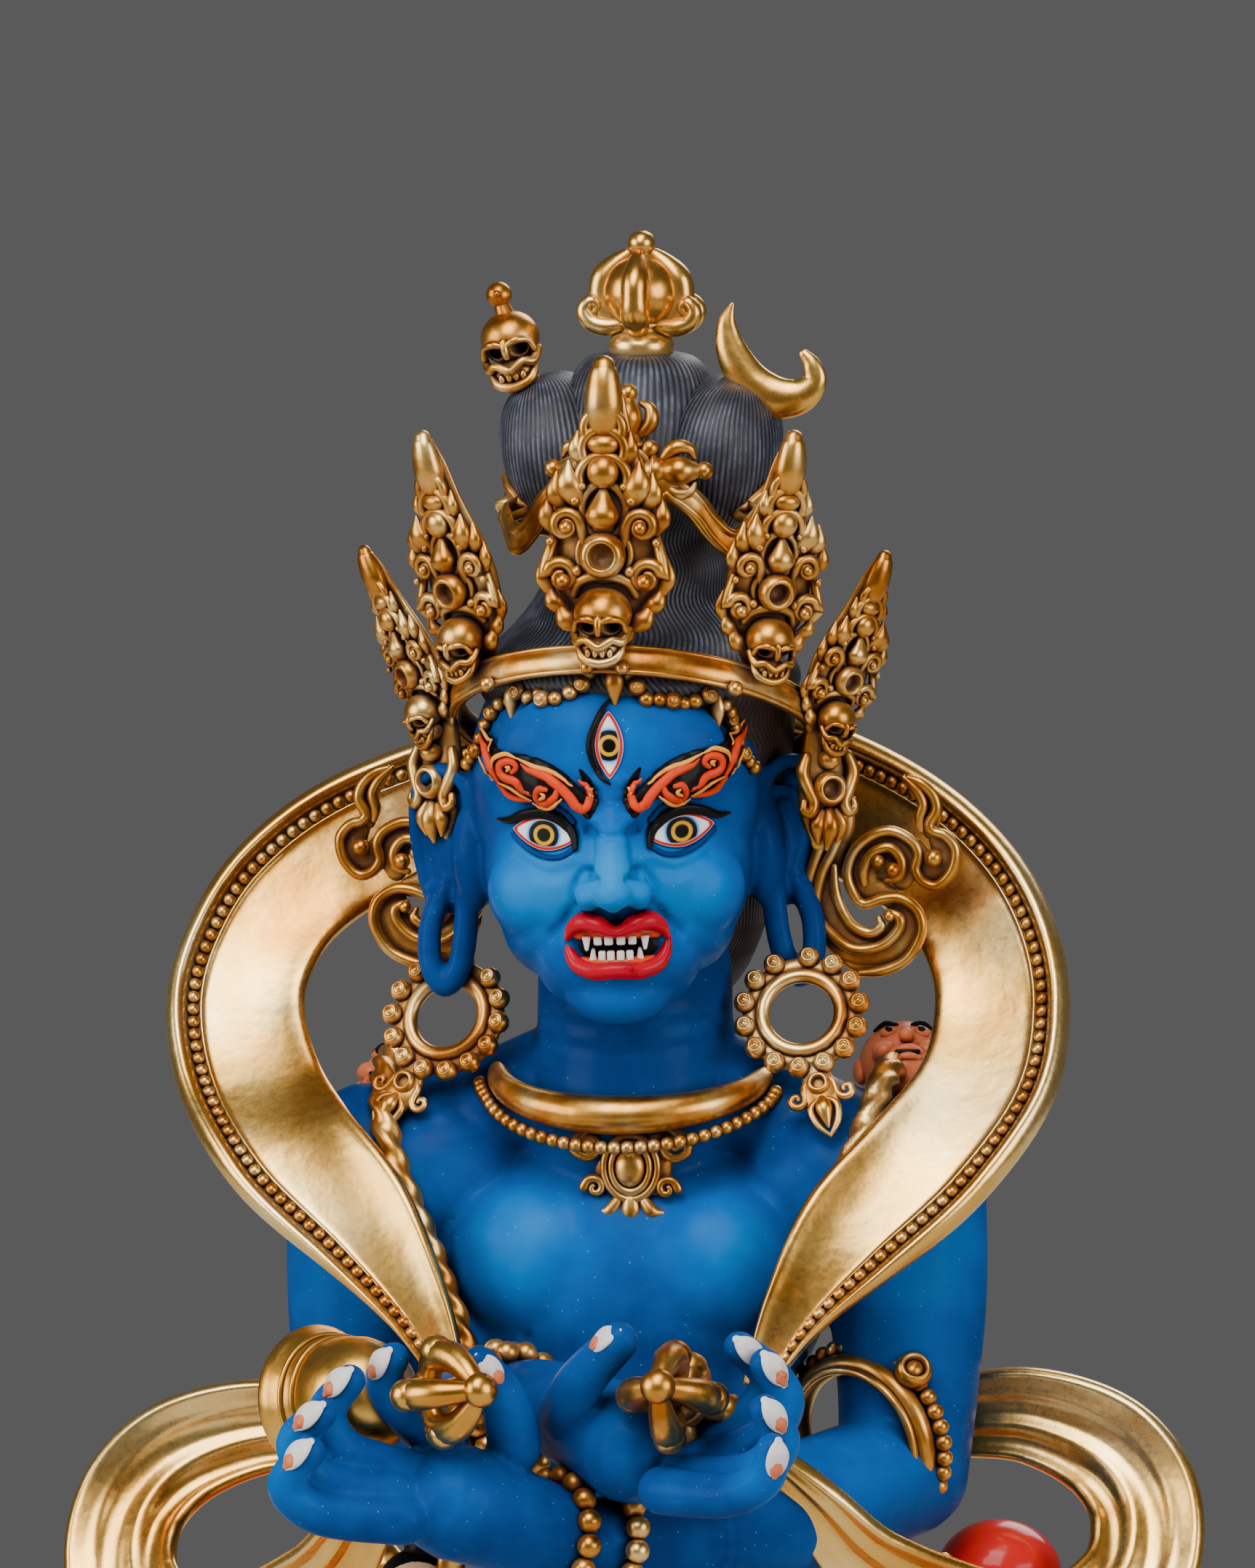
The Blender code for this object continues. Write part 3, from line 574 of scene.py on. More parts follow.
@dataclass(frozen=True)
class Gilding(Finish):
    """Fire-gilt cast copper, burnished: pale where rubbed, amber between, red-brown in the hollows."""

    pale: str = "#f5cd80"
    mid: str = "#dc9c42"
    amber: str = "#b06a24"
    stain: str = "#8f4a1c"
    hollow: str = "#2e0e07"
    roughness: float = 0.25
    hollow_reach: float = 2.6
    patina: float = 1.0
    brushed: float = 0.03
    cloud: float = 7.0
    wear: float = 0.3
    pit: float = 0.9
    hammer_mark: float = 2.4

    def material(self) -> bpy.types.Material:
        """The material: hollows by occlusion, clouds of tone, small pits and hammer marks in the bump."""
        paint = Paint(self.name)
        add, place = paint.add, {"Vector": paint.coords}
        occlusion = add("AmbientOcclusion", {"samples": 6, "Distance": self.hollow_reach * MM})
        speckle = add("TexNoise", {"Scale": per_mm(self.pit), "Detail": 5.0, "Roughness": 0.65}, place)
        clouds = add("TexNoise", {"Scale": per_mm(self.cloud), "Detail": 3.0, "Roughness": 0.55}, place)
        worn = add("Math", {"operation": "MULTIPLY_ADD", 1: self.wear, 2: -0.13}, {0: speckle})
        bare = add("Math", {"operation": "ADD"}, {0: occlusion.outputs["AO"], 1: worn})
        sunk = add("MapRange", {"interpolation_type": "SMOOTHSTEP", "From Min": 0.42, "From Max": 0.9,
                                "To Min": self.patina, "To Max": 0.0}, {"Value": bare})
        tone = add("ValToRGB", {"stops": [(0.33, self.amber), (0.50, self.mid), (0.66, self.pale)]},
                   {"Fac": clouds})
        stain = add("ValToRGB", {"stops": [(0.38, self.hollow), (0.78, self.stain)]}, {"Fac": bare})
        colour = add("Mix", {"data_type": "RGBA"}, {0: sunk, 6: tone, 7: stain})
        metal = add("MapRange", {"To Min": 1.0, "To Max": 0.25}, {"Value": sunk})
        rough = add("MapRange", {"To Min": self.roughness, "To Max": self.roughness + 0.38},
                    {"Value": sunk})
        varied = add("Math", {"operation": "MULTIPLY_ADD", 1: 0.16}, {0: speckle, 2: rough})
        hammer = add("TexNoise", {"Scale": per_mm(self.hammer_mark), "Detail": 2.0}, place)
        soft = add("Bump", {"Strength": 0.25, "Distance": 0.25 * MM}, {"Height": hammer})
        pits = add("Bump", {"Strength": 0.35, "Distance": self.brushed * MM},
                   {"Height": speckle, "Normal": soft})
        return paint.done({"Base Color": colour.outputs[2], "Metallic": metal, "Roughness": varied,
                           "Normal": pits}, {})


@dataclass(frozen=True)
class Lacquer(Finish):
    """Mineral paint under a satin varnish: airbrushed light places that also carry painted highlights,
    darker sides as painted shade, and dark painted shade in the hollows.
    """

    light: str = "#0088ce"
    body: str = "#0058a6"
    deep: str = "#01336f"
    hollow: str = "#021729"
    dust: str = "#7fb4dc"
    roughness: float = 0.34
    cloud: float = 9.0
    grain: float = 0.55
    dust_spacing: float = 1.5

    def material(self) -> bpy.types.Material:
        """The material: tone by the stored attribute of airbrushed tone with painted highlights and shade,
        and soft clouds, painted shade in the hollows by occlusion, pits and dust specks in the bump.
        """
        paint = Paint(self.name)
        add, place = paint.add, {"Vector": paint.coords}
        # Painted light: the stored value moves the blue towards the light colour where highlights fall,
        # over the airbrushed tone, and towards the deep colour on the sides as painted shade.
        airbrush_and_painted_light = add("Attribute", {"attribute_name": "airbrush_and_painted_light"}).outputs["Fac"]
        clouds = add("TexNoise", {"Scale": per_mm(self.cloud), "Detail": 4.0, "Roughness": 0.6}, place)
        drift = add("Math", {"operation": "MULTIPLY_ADD", 1: 0.5, 2: -0.25}, {0: clouds})
        share = add("Math", {"operation": "ADD"}, {0: airbrush_and_painted_light, 1: drift})
        tone = add("ValToRGB", {"stops": [(0.0, self.deep), (0.35, self.body), (0.95, self.light)]},
                   {"Fac": share})
        # Painted shade: the blue goes to the near-black hollow colour in recesses, by occlusion.
        occlusion = add("AmbientOcclusion", {"samples": 6, "Distance": 3.0 * MM}).outputs["AO"]
        sunk = add("MapRange", {"interpolation_type": "SMOOTHSTEP", "From Min": 0.25, "From Max": 0.75,
                                "To Min": 0.85, "To Max": 0.0}, {"Value": occlusion})
        colour = add("Mix", {"data_type": "RGBA", 7: linear(self.hollow)}, {0: sunk, 6: tone}).outputs[2]
        dust = add("TexVoronoi", {"Scale": per_mm(self.dust_spacing)}, place)
        speck = add("MapRange", {"From Min": 0.05, "From Max": 0.085, "To Min": 0.35, "To Max": 0.0},
                    {"Value": dust})
        dusted = add("Mix", {"data_type": "RGBA", 7: linear(self.dust)}, {0: speck, 6: colour})
        grain = add("TexNoise", {"Scale": per_mm(self.grain), "Detail": 3.0, "Roughness": 0.6}, place)
        rough = add("MapRange", {"To Min": self.roughness - 0.06, "To Max": self.roughness + 0.14},
                    {"Value": clouds})
        bump = add("Bump", {"Strength": 0.18, "Distance": 0.06 * MM}, {"Height": grain})
        lumps = add("Bump", {"Strength": 0.3, "Distance": 0.25 * MM}, {"Height": clouds, "Normal": bump})
        return paint.done({"Base Color": dusted.outputs[2], "Roughness": rough, "Normal": lumps},
                          {"Specular IOR Level": 0.04, "Coat Weight": 0.02, "Coat Roughness": 0.2})


@dataclass(frozen=True)
class HairPaint(Finish):
    """Slate-grey matt paint over engraved strands, lighter on the ridges, brown at the hairline."""

    ridge: str = "#363a48"
    valley: str = "#08090c"
    crest: str = "#565c6e"
    brown: str = "#231713"
    hairline: float = 287.0
    fade: float = 6.0
    cloud: float = 3.0

    def material(self) -> bpy.types.Material:
        """The material: ridge and valley by the strand attribute, brown by height near the hairline."""
        paint = Paint(self.name)
        add = paint.add
        strand = add("Attribute", {"attribute_name": "strand"}).outputs["Fac"]
        clouds = add("TexNoise", {"Scale": per_mm(self.cloud), "Detail": 4.0, "Roughness": 0.65},
                     {"Vector": paint.coords})
        share = add("Math", {"operation": "MULTIPLY"}, {0: strand, 1: clouds})
        tone = add("ValToRGB", {"stops": [(0.12, self.valley), (0.5, self.ridge), (0.64, self.crest)]},
                   {"Fac": share})
        height = add("SeparateXYZ", {}, {0: paint.coords}).outputs["Z"]
        level = DRAWING.base_top + (self.hairline - DRAWING.sole) * MM
        low = add("MapRange", {"From Min": level, "From Max": level + self.fade * MM, "To Min": 0.8,
                               "To Max": 0.0},
                  {"Value": height})
        colour = add("Mix", {"data_type": "RGBA", 7: linear(self.brown)}, {0: low, 6: tone})
        bump = add("Bump", {"Strength": 0.3, "Distance": 0.1 * MM}, {"Height": clouds})
        return paint.done({"Base Color": colour.outputs[2], "Normal": bump}, {"Roughness": 0.5})


@dataclass(frozen=True)
class Enamel(Finish):
    """Glossy paint laid on thick with a small brush: one colour with a little drift, and a wet shine."""

    light: str
    dark: str
    roughness: float = 0.2
    cloud: float = 2.0
    coat: float = 0.25

    def material(self) -> bpy.types.Material:
        """The material: two close tones in small clouds, darker in the hollows as painted shade, brush
        marks in the bump.
        """
        paint = Paint(self.name)
        add = paint.add
        clouds = add("TexNoise", {"Scale": per_mm(self.cloud), "Detail": 3.0}, {"Vector": paint.coords})
        # Painted shade: the paint darkens in the hollows, by occlusion.
        occlusion = add("AmbientOcclusion", {"samples": 4, "Distance": 1.2 * MM}).outputs["AO"]
        share = add("Math", {"operation": "MULTIPLY"}, {0: clouds, 1: occlusion})
        tone = add("ValToRGB", {"stops": [(0.15, self.dark), (0.42, self.light)]}, {"Fac": share})
        rough = add("MapRange", {"To Min": self.roughness, "To Max": self.roughness + 0.12},
                    {"Value": clouds})
        bump = add("Bump", {"Strength": 0.25, "Distance": 0.08 * MM}, {"Height": clouds})
        return paint.done({"Base Color": tone, "Roughness": rough, "Normal": bump},
                          {"Specular IOR Level": 0.1, "Coat Weight": self.coat, "Coat Roughness": 0.08})


@dataclass(frozen=True)
class EyePaint(Finish):
    """A painted eye: black pupil, yellow iris ringed in black, pale blue bloom, red and blue rims."""

    reach: float = 3.625
    brush_mark: float = 0.8

    def material(self) -> bpy.types.Material:
        """The material: rings by the distance to the pupil, rims by the distance to the lids, in mm."""
        paint = Paint(self.name)
        add = paint.add
        far = add("Attribute", {"attribute_name": "far"}).outputs["Fac"]
        rim = add("Attribute", {"attribute_name": "rim"}).outputs["Fac"]
        share = add("Math", {"operation": "DIVIDE", 1: self.reach}, {0: far})
        rings = add("ValToRGB", {"stops": [
            (0.0, "#030303"), (0.2, "#050403"), (0.22, "#a3780b"), (0.25, "#dca916"), (0.325, "#cf9412"),
            (0.345, "#0e0a07"), (0.46, "#0a0c12"), (0.49, "#2f78c8"), (0.55, "#a9d0ee"), (0.63, "#eef1f2"),
        ]}, {"Fac": share})
        edge = add("ValToRGB", {"stops": [
            (0.0, "#123c9c"), (0.1, "#1e55b8"), (0.15, "#f0cfc2"), (0.22, "#cc120e"), (0.48, "#cf2a20"),
            (0.66, "#eceeee"),
        ]}, {"Fac": rim})
        near = add("MapRange", {"From Min": 0.5, "From Max": 0.68, "To Min": 1.0, "To Max": 0.0},
                   {"Value": rim})
        colour = add("Mix", {"data_type": "RGBA"}, {0: near, 6: rings, 7: edge})
        marks = add("TexNoise", {"Scale": per_mm(self.brush_mark), "Detail": 2.0}, {"Vector": paint.coords})
        bump = add("Bump", {"Strength": 0.12, "Distance": 0.05 * MM}, {"Height": marks})
        return paint.done({"Base Color": colour.outputs[2], "Normal": bump},
                          {"Roughness": 0.5, "Specular IOR Level": 0.12})


@dataclass(frozen=True)
class PeltPaint(Finish):
    """A painted tiger pelt: tawny ground with dark, torn stripes across it, matt."""

    ground: str = "#b9661f"
    pale: str = "#dca256"
    stripe: str = "#22150c"
    stripe_spacing: float = 9.0
    cloud: float = 12.0
    fur: float = 0.5

    def material(self) -> bpy.types.Material:
        """The material: bent bands of stripe over a clouded ground, short fur in the bump."""
        paint = Paint(self.name)
        add, place = paint.add, {"Vector": paint.coords}
        bands = add("TexWave", {"wave_type": "BANDS", "bands_direction": "Z", "Distortion": 9.0,
                                "Detail": 2.0,
                                "Scale": per_mm(self.stripe_spacing) / 6.3, "Detail Scale": 1.4}, place)
        clouds = add("TexNoise", {"Scale": per_mm(self.cloud), "Detail": 3.0}, place)
        ground = add("ValToRGB", {"stops": [(0.4, self.ground), (0.65, self.pale)]}, {"Fac": clouds})
        share = add("MapRange", {"interpolation_type": "SMOOTHSTEP", "From Min": 0.7, "From Max": 0.8},
                    {"Value": bands.outputs["Fac"]})
        colour = add("Mix", {"data_type": "RGBA", 7: linear(self.stripe)}, {0: share, 6: ground})
        fur = add("TexNoise", {"Scale": per_mm(self.fur), "Detail": 2.0}, place)
        bump = add("Bump", {"Strength": 0.4, "Distance": 0.1 * MM}, {"Height": fur})
        return paint.done({"Base Color": colour.outputs[2], "Normal": bump}, {"Roughness": 0.5})


@dataclass(frozen=True)
class Card(Finish):
    """The floor's pale, matt card, with a faint drift of tone."""

    light: str = "#c9c7c3"
    dark: str = "#c2c0bc"
    grain: float = 1.0

    def material(self) -> bpy.types.Material:
        """The material: two close tones in fine clouds."""
        paint = Paint(self.name)
        grain = paint.add("TexNoise", {"Scale": per_mm(self.grain)}, {"Vector": paint.coords})
        tone = paint.add("ValToRGB", {"stops": [(0.3, self.dark), (0.7, self.light)]}, {"Fac": grain})
        return paint.done({"Base Color": tone}, {"Roughness": 0.85})


class Palette:
    """All finishes of the statue by the slot they take, each made once when it is first asked for."""

    FINISHES: dict[Slot, dict[str, Finish]] = {
        Slot.GILDING: {
            "ornament": Gilding("gilt_copper_ornament"),
            "scarf": Gilding("gilt_copper_polished", pale="#f9d892", mid="#efbc60", amber="#d8933a",
                             roughness=0.2, hollow_reach=1.5, patina=0.6, brushed=0.008, cloud=22.0),
            "bell": Gilding("gilt_copper_burnished", pale="#f0c878", mid="#e5ae50", amber="#cb8c34",
                            roughness=0.22, hollow_reach=1.4, patina=0.8, brushed=0.012, cloud=15.0),
        },
        Slot.BLUE: {"blue": Lacquer("blue_lacquer_on_copper")},
        Slot.HAIR: {"hair": HairPaint("slate_paint_on_engraved_hair")},
        Slot.RED: {
            "lips": Enamel("red_enamel", "#b40222", "#500212", coat=0.1),
            "dome": Enamel("red_enamel_broad", "#c9201c", "#7d100f", cloud=9.0),
            "gums": Enamel("orange_red_enamel", "#e8480e", "#9c160c"),
            "flames": Enamel("vermilion_flame_enamel", "#dd3d12", "#8f120c", 0.35, 1.6, 0.05),
            "flame_tips": Enamel("amber_flame_enamel", "#f0a03a", "#d9601c", 0.35, 1.2, 0.05),
        },
        Slot.EYE: {
            "eyes": EyePaint("eye_paint"),
            "black": Enamel("black_enamel", "#0c0a0a", "#040303", roughness=0.4, coat=0.05),
        },
        Slot.FACE: {
            "teeth": Enamel("ivory_white_enamel", "#ebe6df", "#c08a80"),
            "nails": Enamel("pink_white_enamel", "#d9d6d2", "#b98d7c", coat=0.3),
            "salmon": Enamel("salmon_face_enamel", "#d2714a", "#8c3a22", roughness=0.3, coat=0.1),
            "cream": Enamel("cream_face_enamel", "#d9b48a", "#8f6443", roughness=0.35, coat=0.1),
            "pelt": PeltPaint("tiger_pelt_paint"),
        },
    }

    def __init__(self) -> None:
        """Starts with no material made."""
        self.made: dict[str, bpy.types.Material] = {}

    def find(self, name: str) -> tuple[Slot, bpy.types.Material]:
        """The slot and the material of one finish."""
        slot = next(slot for slot, finishes in self.FINISHES.items() if name in finishes)
        if name not in self.made:
            self.made[name] = self.FINISHES[slot][name].material()
        return slot, self.made[name]


PALETTE = Palette()


def finish_piece(
    name: str, mesh: bpy.types.Mesh, finish: str, *replaces: str, slot: Slot | None = None
) -> None:
    """Brings a drawn mesh to its place and hands it over.

    Args:
        name: the piece's name.
        mesh: its mesh, in drawn millimetres.
        finish: its finish in the palette.
        replaces: the nodes that it stands for.
        slot: the slot it would take where that isn't its finish's; not used.
    """
    own_slot, material = PALETTE.find(finish)
    mesh.name = name
    mesh.transform(DRAWING.to_frame())
    mesh.materials.clear()
    mesh.materials.append(material)
    mesh.shade_smooth()
    obj = bpy.data.objects.new(name, mesh)
    bpy.context.scene.collection.objects.link(obj)
    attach(obj, BODY)
    if replaces:
        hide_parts(*replaces)
    log.info("%s: %d faces", name, len(mesh.polygons))


@dataclass
class Studio:
    """Pale floor, soft lights, even grey surround and the camera, at the photograph's viewing angle."""

    azimuth: float = 10.0
    elevation: float = 6.0
    aim: Point = (-0.73 * MM, 0.0, 0.2568)
    distance: float = 5.0
    lens: float = 1000.0
    lamps_aim: Point = (0, 0, 0.22)
    floor_reach: float = 0.75
    surround: str = "#5c5c5c"
    lamps: tuple[tuple[str, Point, float, float], ...] = (
        ("front_box", (-0.1, -1.15, 1.45), 1.0, 24.0),
        ("left_box", (-1.15, -0.75, 0.55), 0.9, 15.0),
        ("right_box", (1.2, -0.7, 0.5), 0.8, 11.0),
        ("back_box", (0.2, 1.0, 0.9), 0.6, 6.0),
        ("top_box", (0.1, -0.75, 1.9), 0.9, 9.0),
    )

    def back(self) -> Vector:
        """The direction from the statue to the camera."""
        a, e = radians(self.azimuth), radians(self.elevation)
        return Vector((sin(a) * cos(e), -cos(a) * cos(e), sin(e)))

    def build(self) -> None:
        """Makes the camera, lamps, surround and floor."""
        self.camera()
        self.light()
        self.floor()

    def camera(self) -> None:
        """The camera: a long lens, so the picture is nearly flat."""
        data = bpy.data.cameras.new("camera")
        data.lens = self.lens
        data.clip_end = 20
        camera = bpy.data.objects.new("camera", data)
        bpy.context.scene.collection.objects.link(camera)
        camera.location = Vector(self.aim) + self.back() * self.distance
        camera.rotation_euler = self.back().to_track_quat("Z", "Y").to_euler()
        bpy.context.scene.camera = camera

    def light(self) -> None:
        """Large soft boxes and an even surround."""
        for name, place, size, power in self.lamps:
            data = bpy.data.lights.new(name, "AREA")
            data.shape = "SQUARE"
            data.size = size
            data.energy = power
            lamp = bpy.data.objects.new(name, data)
            bpy.context.scene.collection.objects.link(lamp)
            lamp.location = place
            way = Vector(place) - Vector(self.lamps_aim)
            lamp.rotation_euler = way.to_track_quat("Z", "Y").to_euler()
        world = bpy.data.worlds.new("surround")
        bpy.context.scene.world = world
        world.use_nodes = True
        ground = world.node_tree.nodes["Background"]
        ground.inputs["Color"].default_value = linear(self.surround)
        ground.inputs["Strength"].default_value = 1.0

    def floor(self) -> None:
        """A round, pale, matt floor."""
        bm = bmesh.new()
        bmesh.ops.create_circle(bm, cap_ends=True, radius=self.floor_reach, segments=128)
        mesh = bpy.data.meshes.new("floor")
        bm.to_mesh(mesh)
        bm.free()
        mesh.materials.append(Card("pale_matt_card").material())
        floor = bpy.data.objects.new("floor", mesh)
        bpy.context.scene.collection.objects.link(floor)


@dataclass
class Body:
    """Chest, belly, neck and arms down to the wrists, in one cast skin, and the legs in another."""

    voxel: float = 0.62
    leg_voxel: float = 0.95
    upper_arm: tuple[Station, ...] = (
        (31, 2, 232, 9.6), (31.5, 2, 219, 9.3), (31.8, 1, 208, 8.2), (31.5, 0, 199, 7.6),
    )
    left_forearm: tuple[Station, ...] = (
        (-31.5, 0, 198, 7.6), (-25, -12, 201, 7.4), (-14, -25, 206, 6.1), (-5, -33, 209, 5.2),
    )
    right_forearm: tuple[Station, ...] = (
        (31.5, 0, 198, 7.6), (24, -14, 196, 7.6), (13, -30, 194, 6.4), (3, -42, 194, 5.3),
    )

    def build(self) -> None:
        """Makes both skins."""
        finish_piece("body_skin", self.upper(), "blue", "figure")
        finish_piece("legs", self.legs(), "blue")

    def upper(self) -> bpy.types.Mesh:
        """The skin of the upper body, with its creases."""
        shape = Shape()
        shape.limb([(0, 2, 164, 18), (0, 1, 178, 17), (0, 0, 192, 16.8), (0, 0, 207, 18)], flat=0.75,
                   sides=32)
        shape.ball((0, -4, 180), (13, 10.5, 14))
        shape.ball((0, 1, 219), (22.5, 14.5, 19))
        for side in SIDES:
            shape.ball((side * 10, -5, 222), (11, 9, 10))
            shape.ball((side * 25, 1, 231), (13, 10, 9.5), turn=(0, side * 20, 0))
            shape.limb([(0, 3, 244, 9), (side * 14, 3, 239, 7.5), (side * 27, 2, 234, 7)], sides=24)
            shape.limb(mirrored(self.upper_arm, side), sides=28)
        shape.limb([(0, 1, 238, 12.4), (0, 1, 246, 11.4), (0, 1, 256, 11.2)], sides=32)
        shape.limb(self.left_forearm, sides=28)
        shape.limb(self.right_forearm, sides=28)
        sculpt = Sculpt(shape.skin(self.voxel, 10))
        front = Surface(sculpt.mesh)
        for level, drop, depth in ((253.2, 0.8, 0.34), (250.6, 1.0, 0.4), (248.2, 1.2, 0.34)):
            crease = [(*front.front(x, level - drop * (1 - (x / 11) ** 2)),) for x in (-9.5, -6, -2, 2, 6,
                    9.5)]
            sculpt.stroke(crease, 0.75, depth)
        for side in SIDES:
            sculpt.stroke([(side * 21.5, -12, 226), (side * 20, -13, 217), (side * 19.5, -12, 208)], 1.6,
                          0.9)
            sculpt.stroke([(side * 2, -15, 214.5), (side * 10, -16, 213), (side * 17, -13, 215)], 2.2, 0.5)
            sculpt.stroke([(side * 4, -12, 238.5), (side * 14, -8, 239.5), (side * 22, -5, 239)], 1.6, -0.4)
        sculpt.stroke([(0, -15, 227), (0, -16, 216)], 1.8, 0.45)
        sculpt.stroke([(0, -17, 196), (0, -17, 188)], 1.6, 0.4)
        sculpt.push((0, -14.5, 181), (1.4, 3, 1.6), (0, 1.6, 0))
        sculpt.push(tuple(front.front(-10.5, 214)), (0.75, 1.5, 0.9), (0, 0.6, 0))
        # Painted light: lighter blue on the chest, upper arms and right forearm where highlights fall.
        sculpt.airbrush_and_painted_light(
            [((-12, -14, 226), 10, 0.6), ((13, -13, 225), 9, 0.55), ((-33, -6, 222), 10, 0.45),
             ((36, -5, 224), 10, 0.55), ((31, -12, 200), 9, 0.3), ((24, -20, 196), 9, 0.2)], 0.0,
        )
        return sculpt.done()

    def legs(self) -> bpy.types.Mesh:
        """The lunge: one leg stretched, one bent, with knees, calves and toes."""
        shape = Shape()
        shape.limb([(-9.5, 2, 150, 14.5), (-22, 0, 128, 13), (-34, -3, 104, 9.2), (-41, 1, 84, 9.4),
                    (-49, 3, 62, 5.8)], sides=28)
        shape.limb([(9.5, 2, 150, 14.5), (24, -8, 129, 13.5), (39, -18, 108, 10), (37, -9, 86, 9.6),
                    (35, 1, 63, 5.8)], sides=28)
        for x, y, toe_x, toe_y in ((-50, 5, -62, -16), (35, 4, 49, -18)):
            way = Vector((toe_x - x, toe_y - y, 0)).normalized()
            across = Vector((way.y, -way.x, 0))
            shape.limb([(x, y, 56, 6.4), (x + 5 * way.x, y + 9 * way.y, 55.5, 6.2),
                        (toe_x, toe_y, 53.6, 3.6)],
                       flat=1.2, sides=20)
            for index in range(5):
                off = (index - 2) * 2.5
                root = Vector((toe_x, toe_y, 53.2)) + across * off - way * 3
                tip = root + way * (7.5 - 0.7 * abs(index - 1.2)) - Vector((0, 0, 0.8))
                shape.limb([(*root, 2.2), (*((root + tip) / 2 + Vector((0, 0, 0.7))), 2.0), (*tip, 1.7)],
                           steps=3)
        mesh = shape.skin(self.leg_voxel, 6)
        sculpt = Sculpt(mesh)
        sculpt.points[:, 2] = np.maximum(sculpt.points[:, 2], DRAWING.sole + 0.2)
        # Painted light: lighter blue on the knees, shins and feet where highlights fall.
        sculpt.airbrush_and_painted_light([((-34, -12, 104), 10, 0.5), ((39, -26, 108), 10, 0.5), ((-44, -8, 80), 9, 0.3),
                     ((37, -16, 84), 9, 0.3), ((-60, -10, 56), 9, 0.4), ((45, -12, 56), 9, 0.4)], 0.05)
        return sculpt.done()


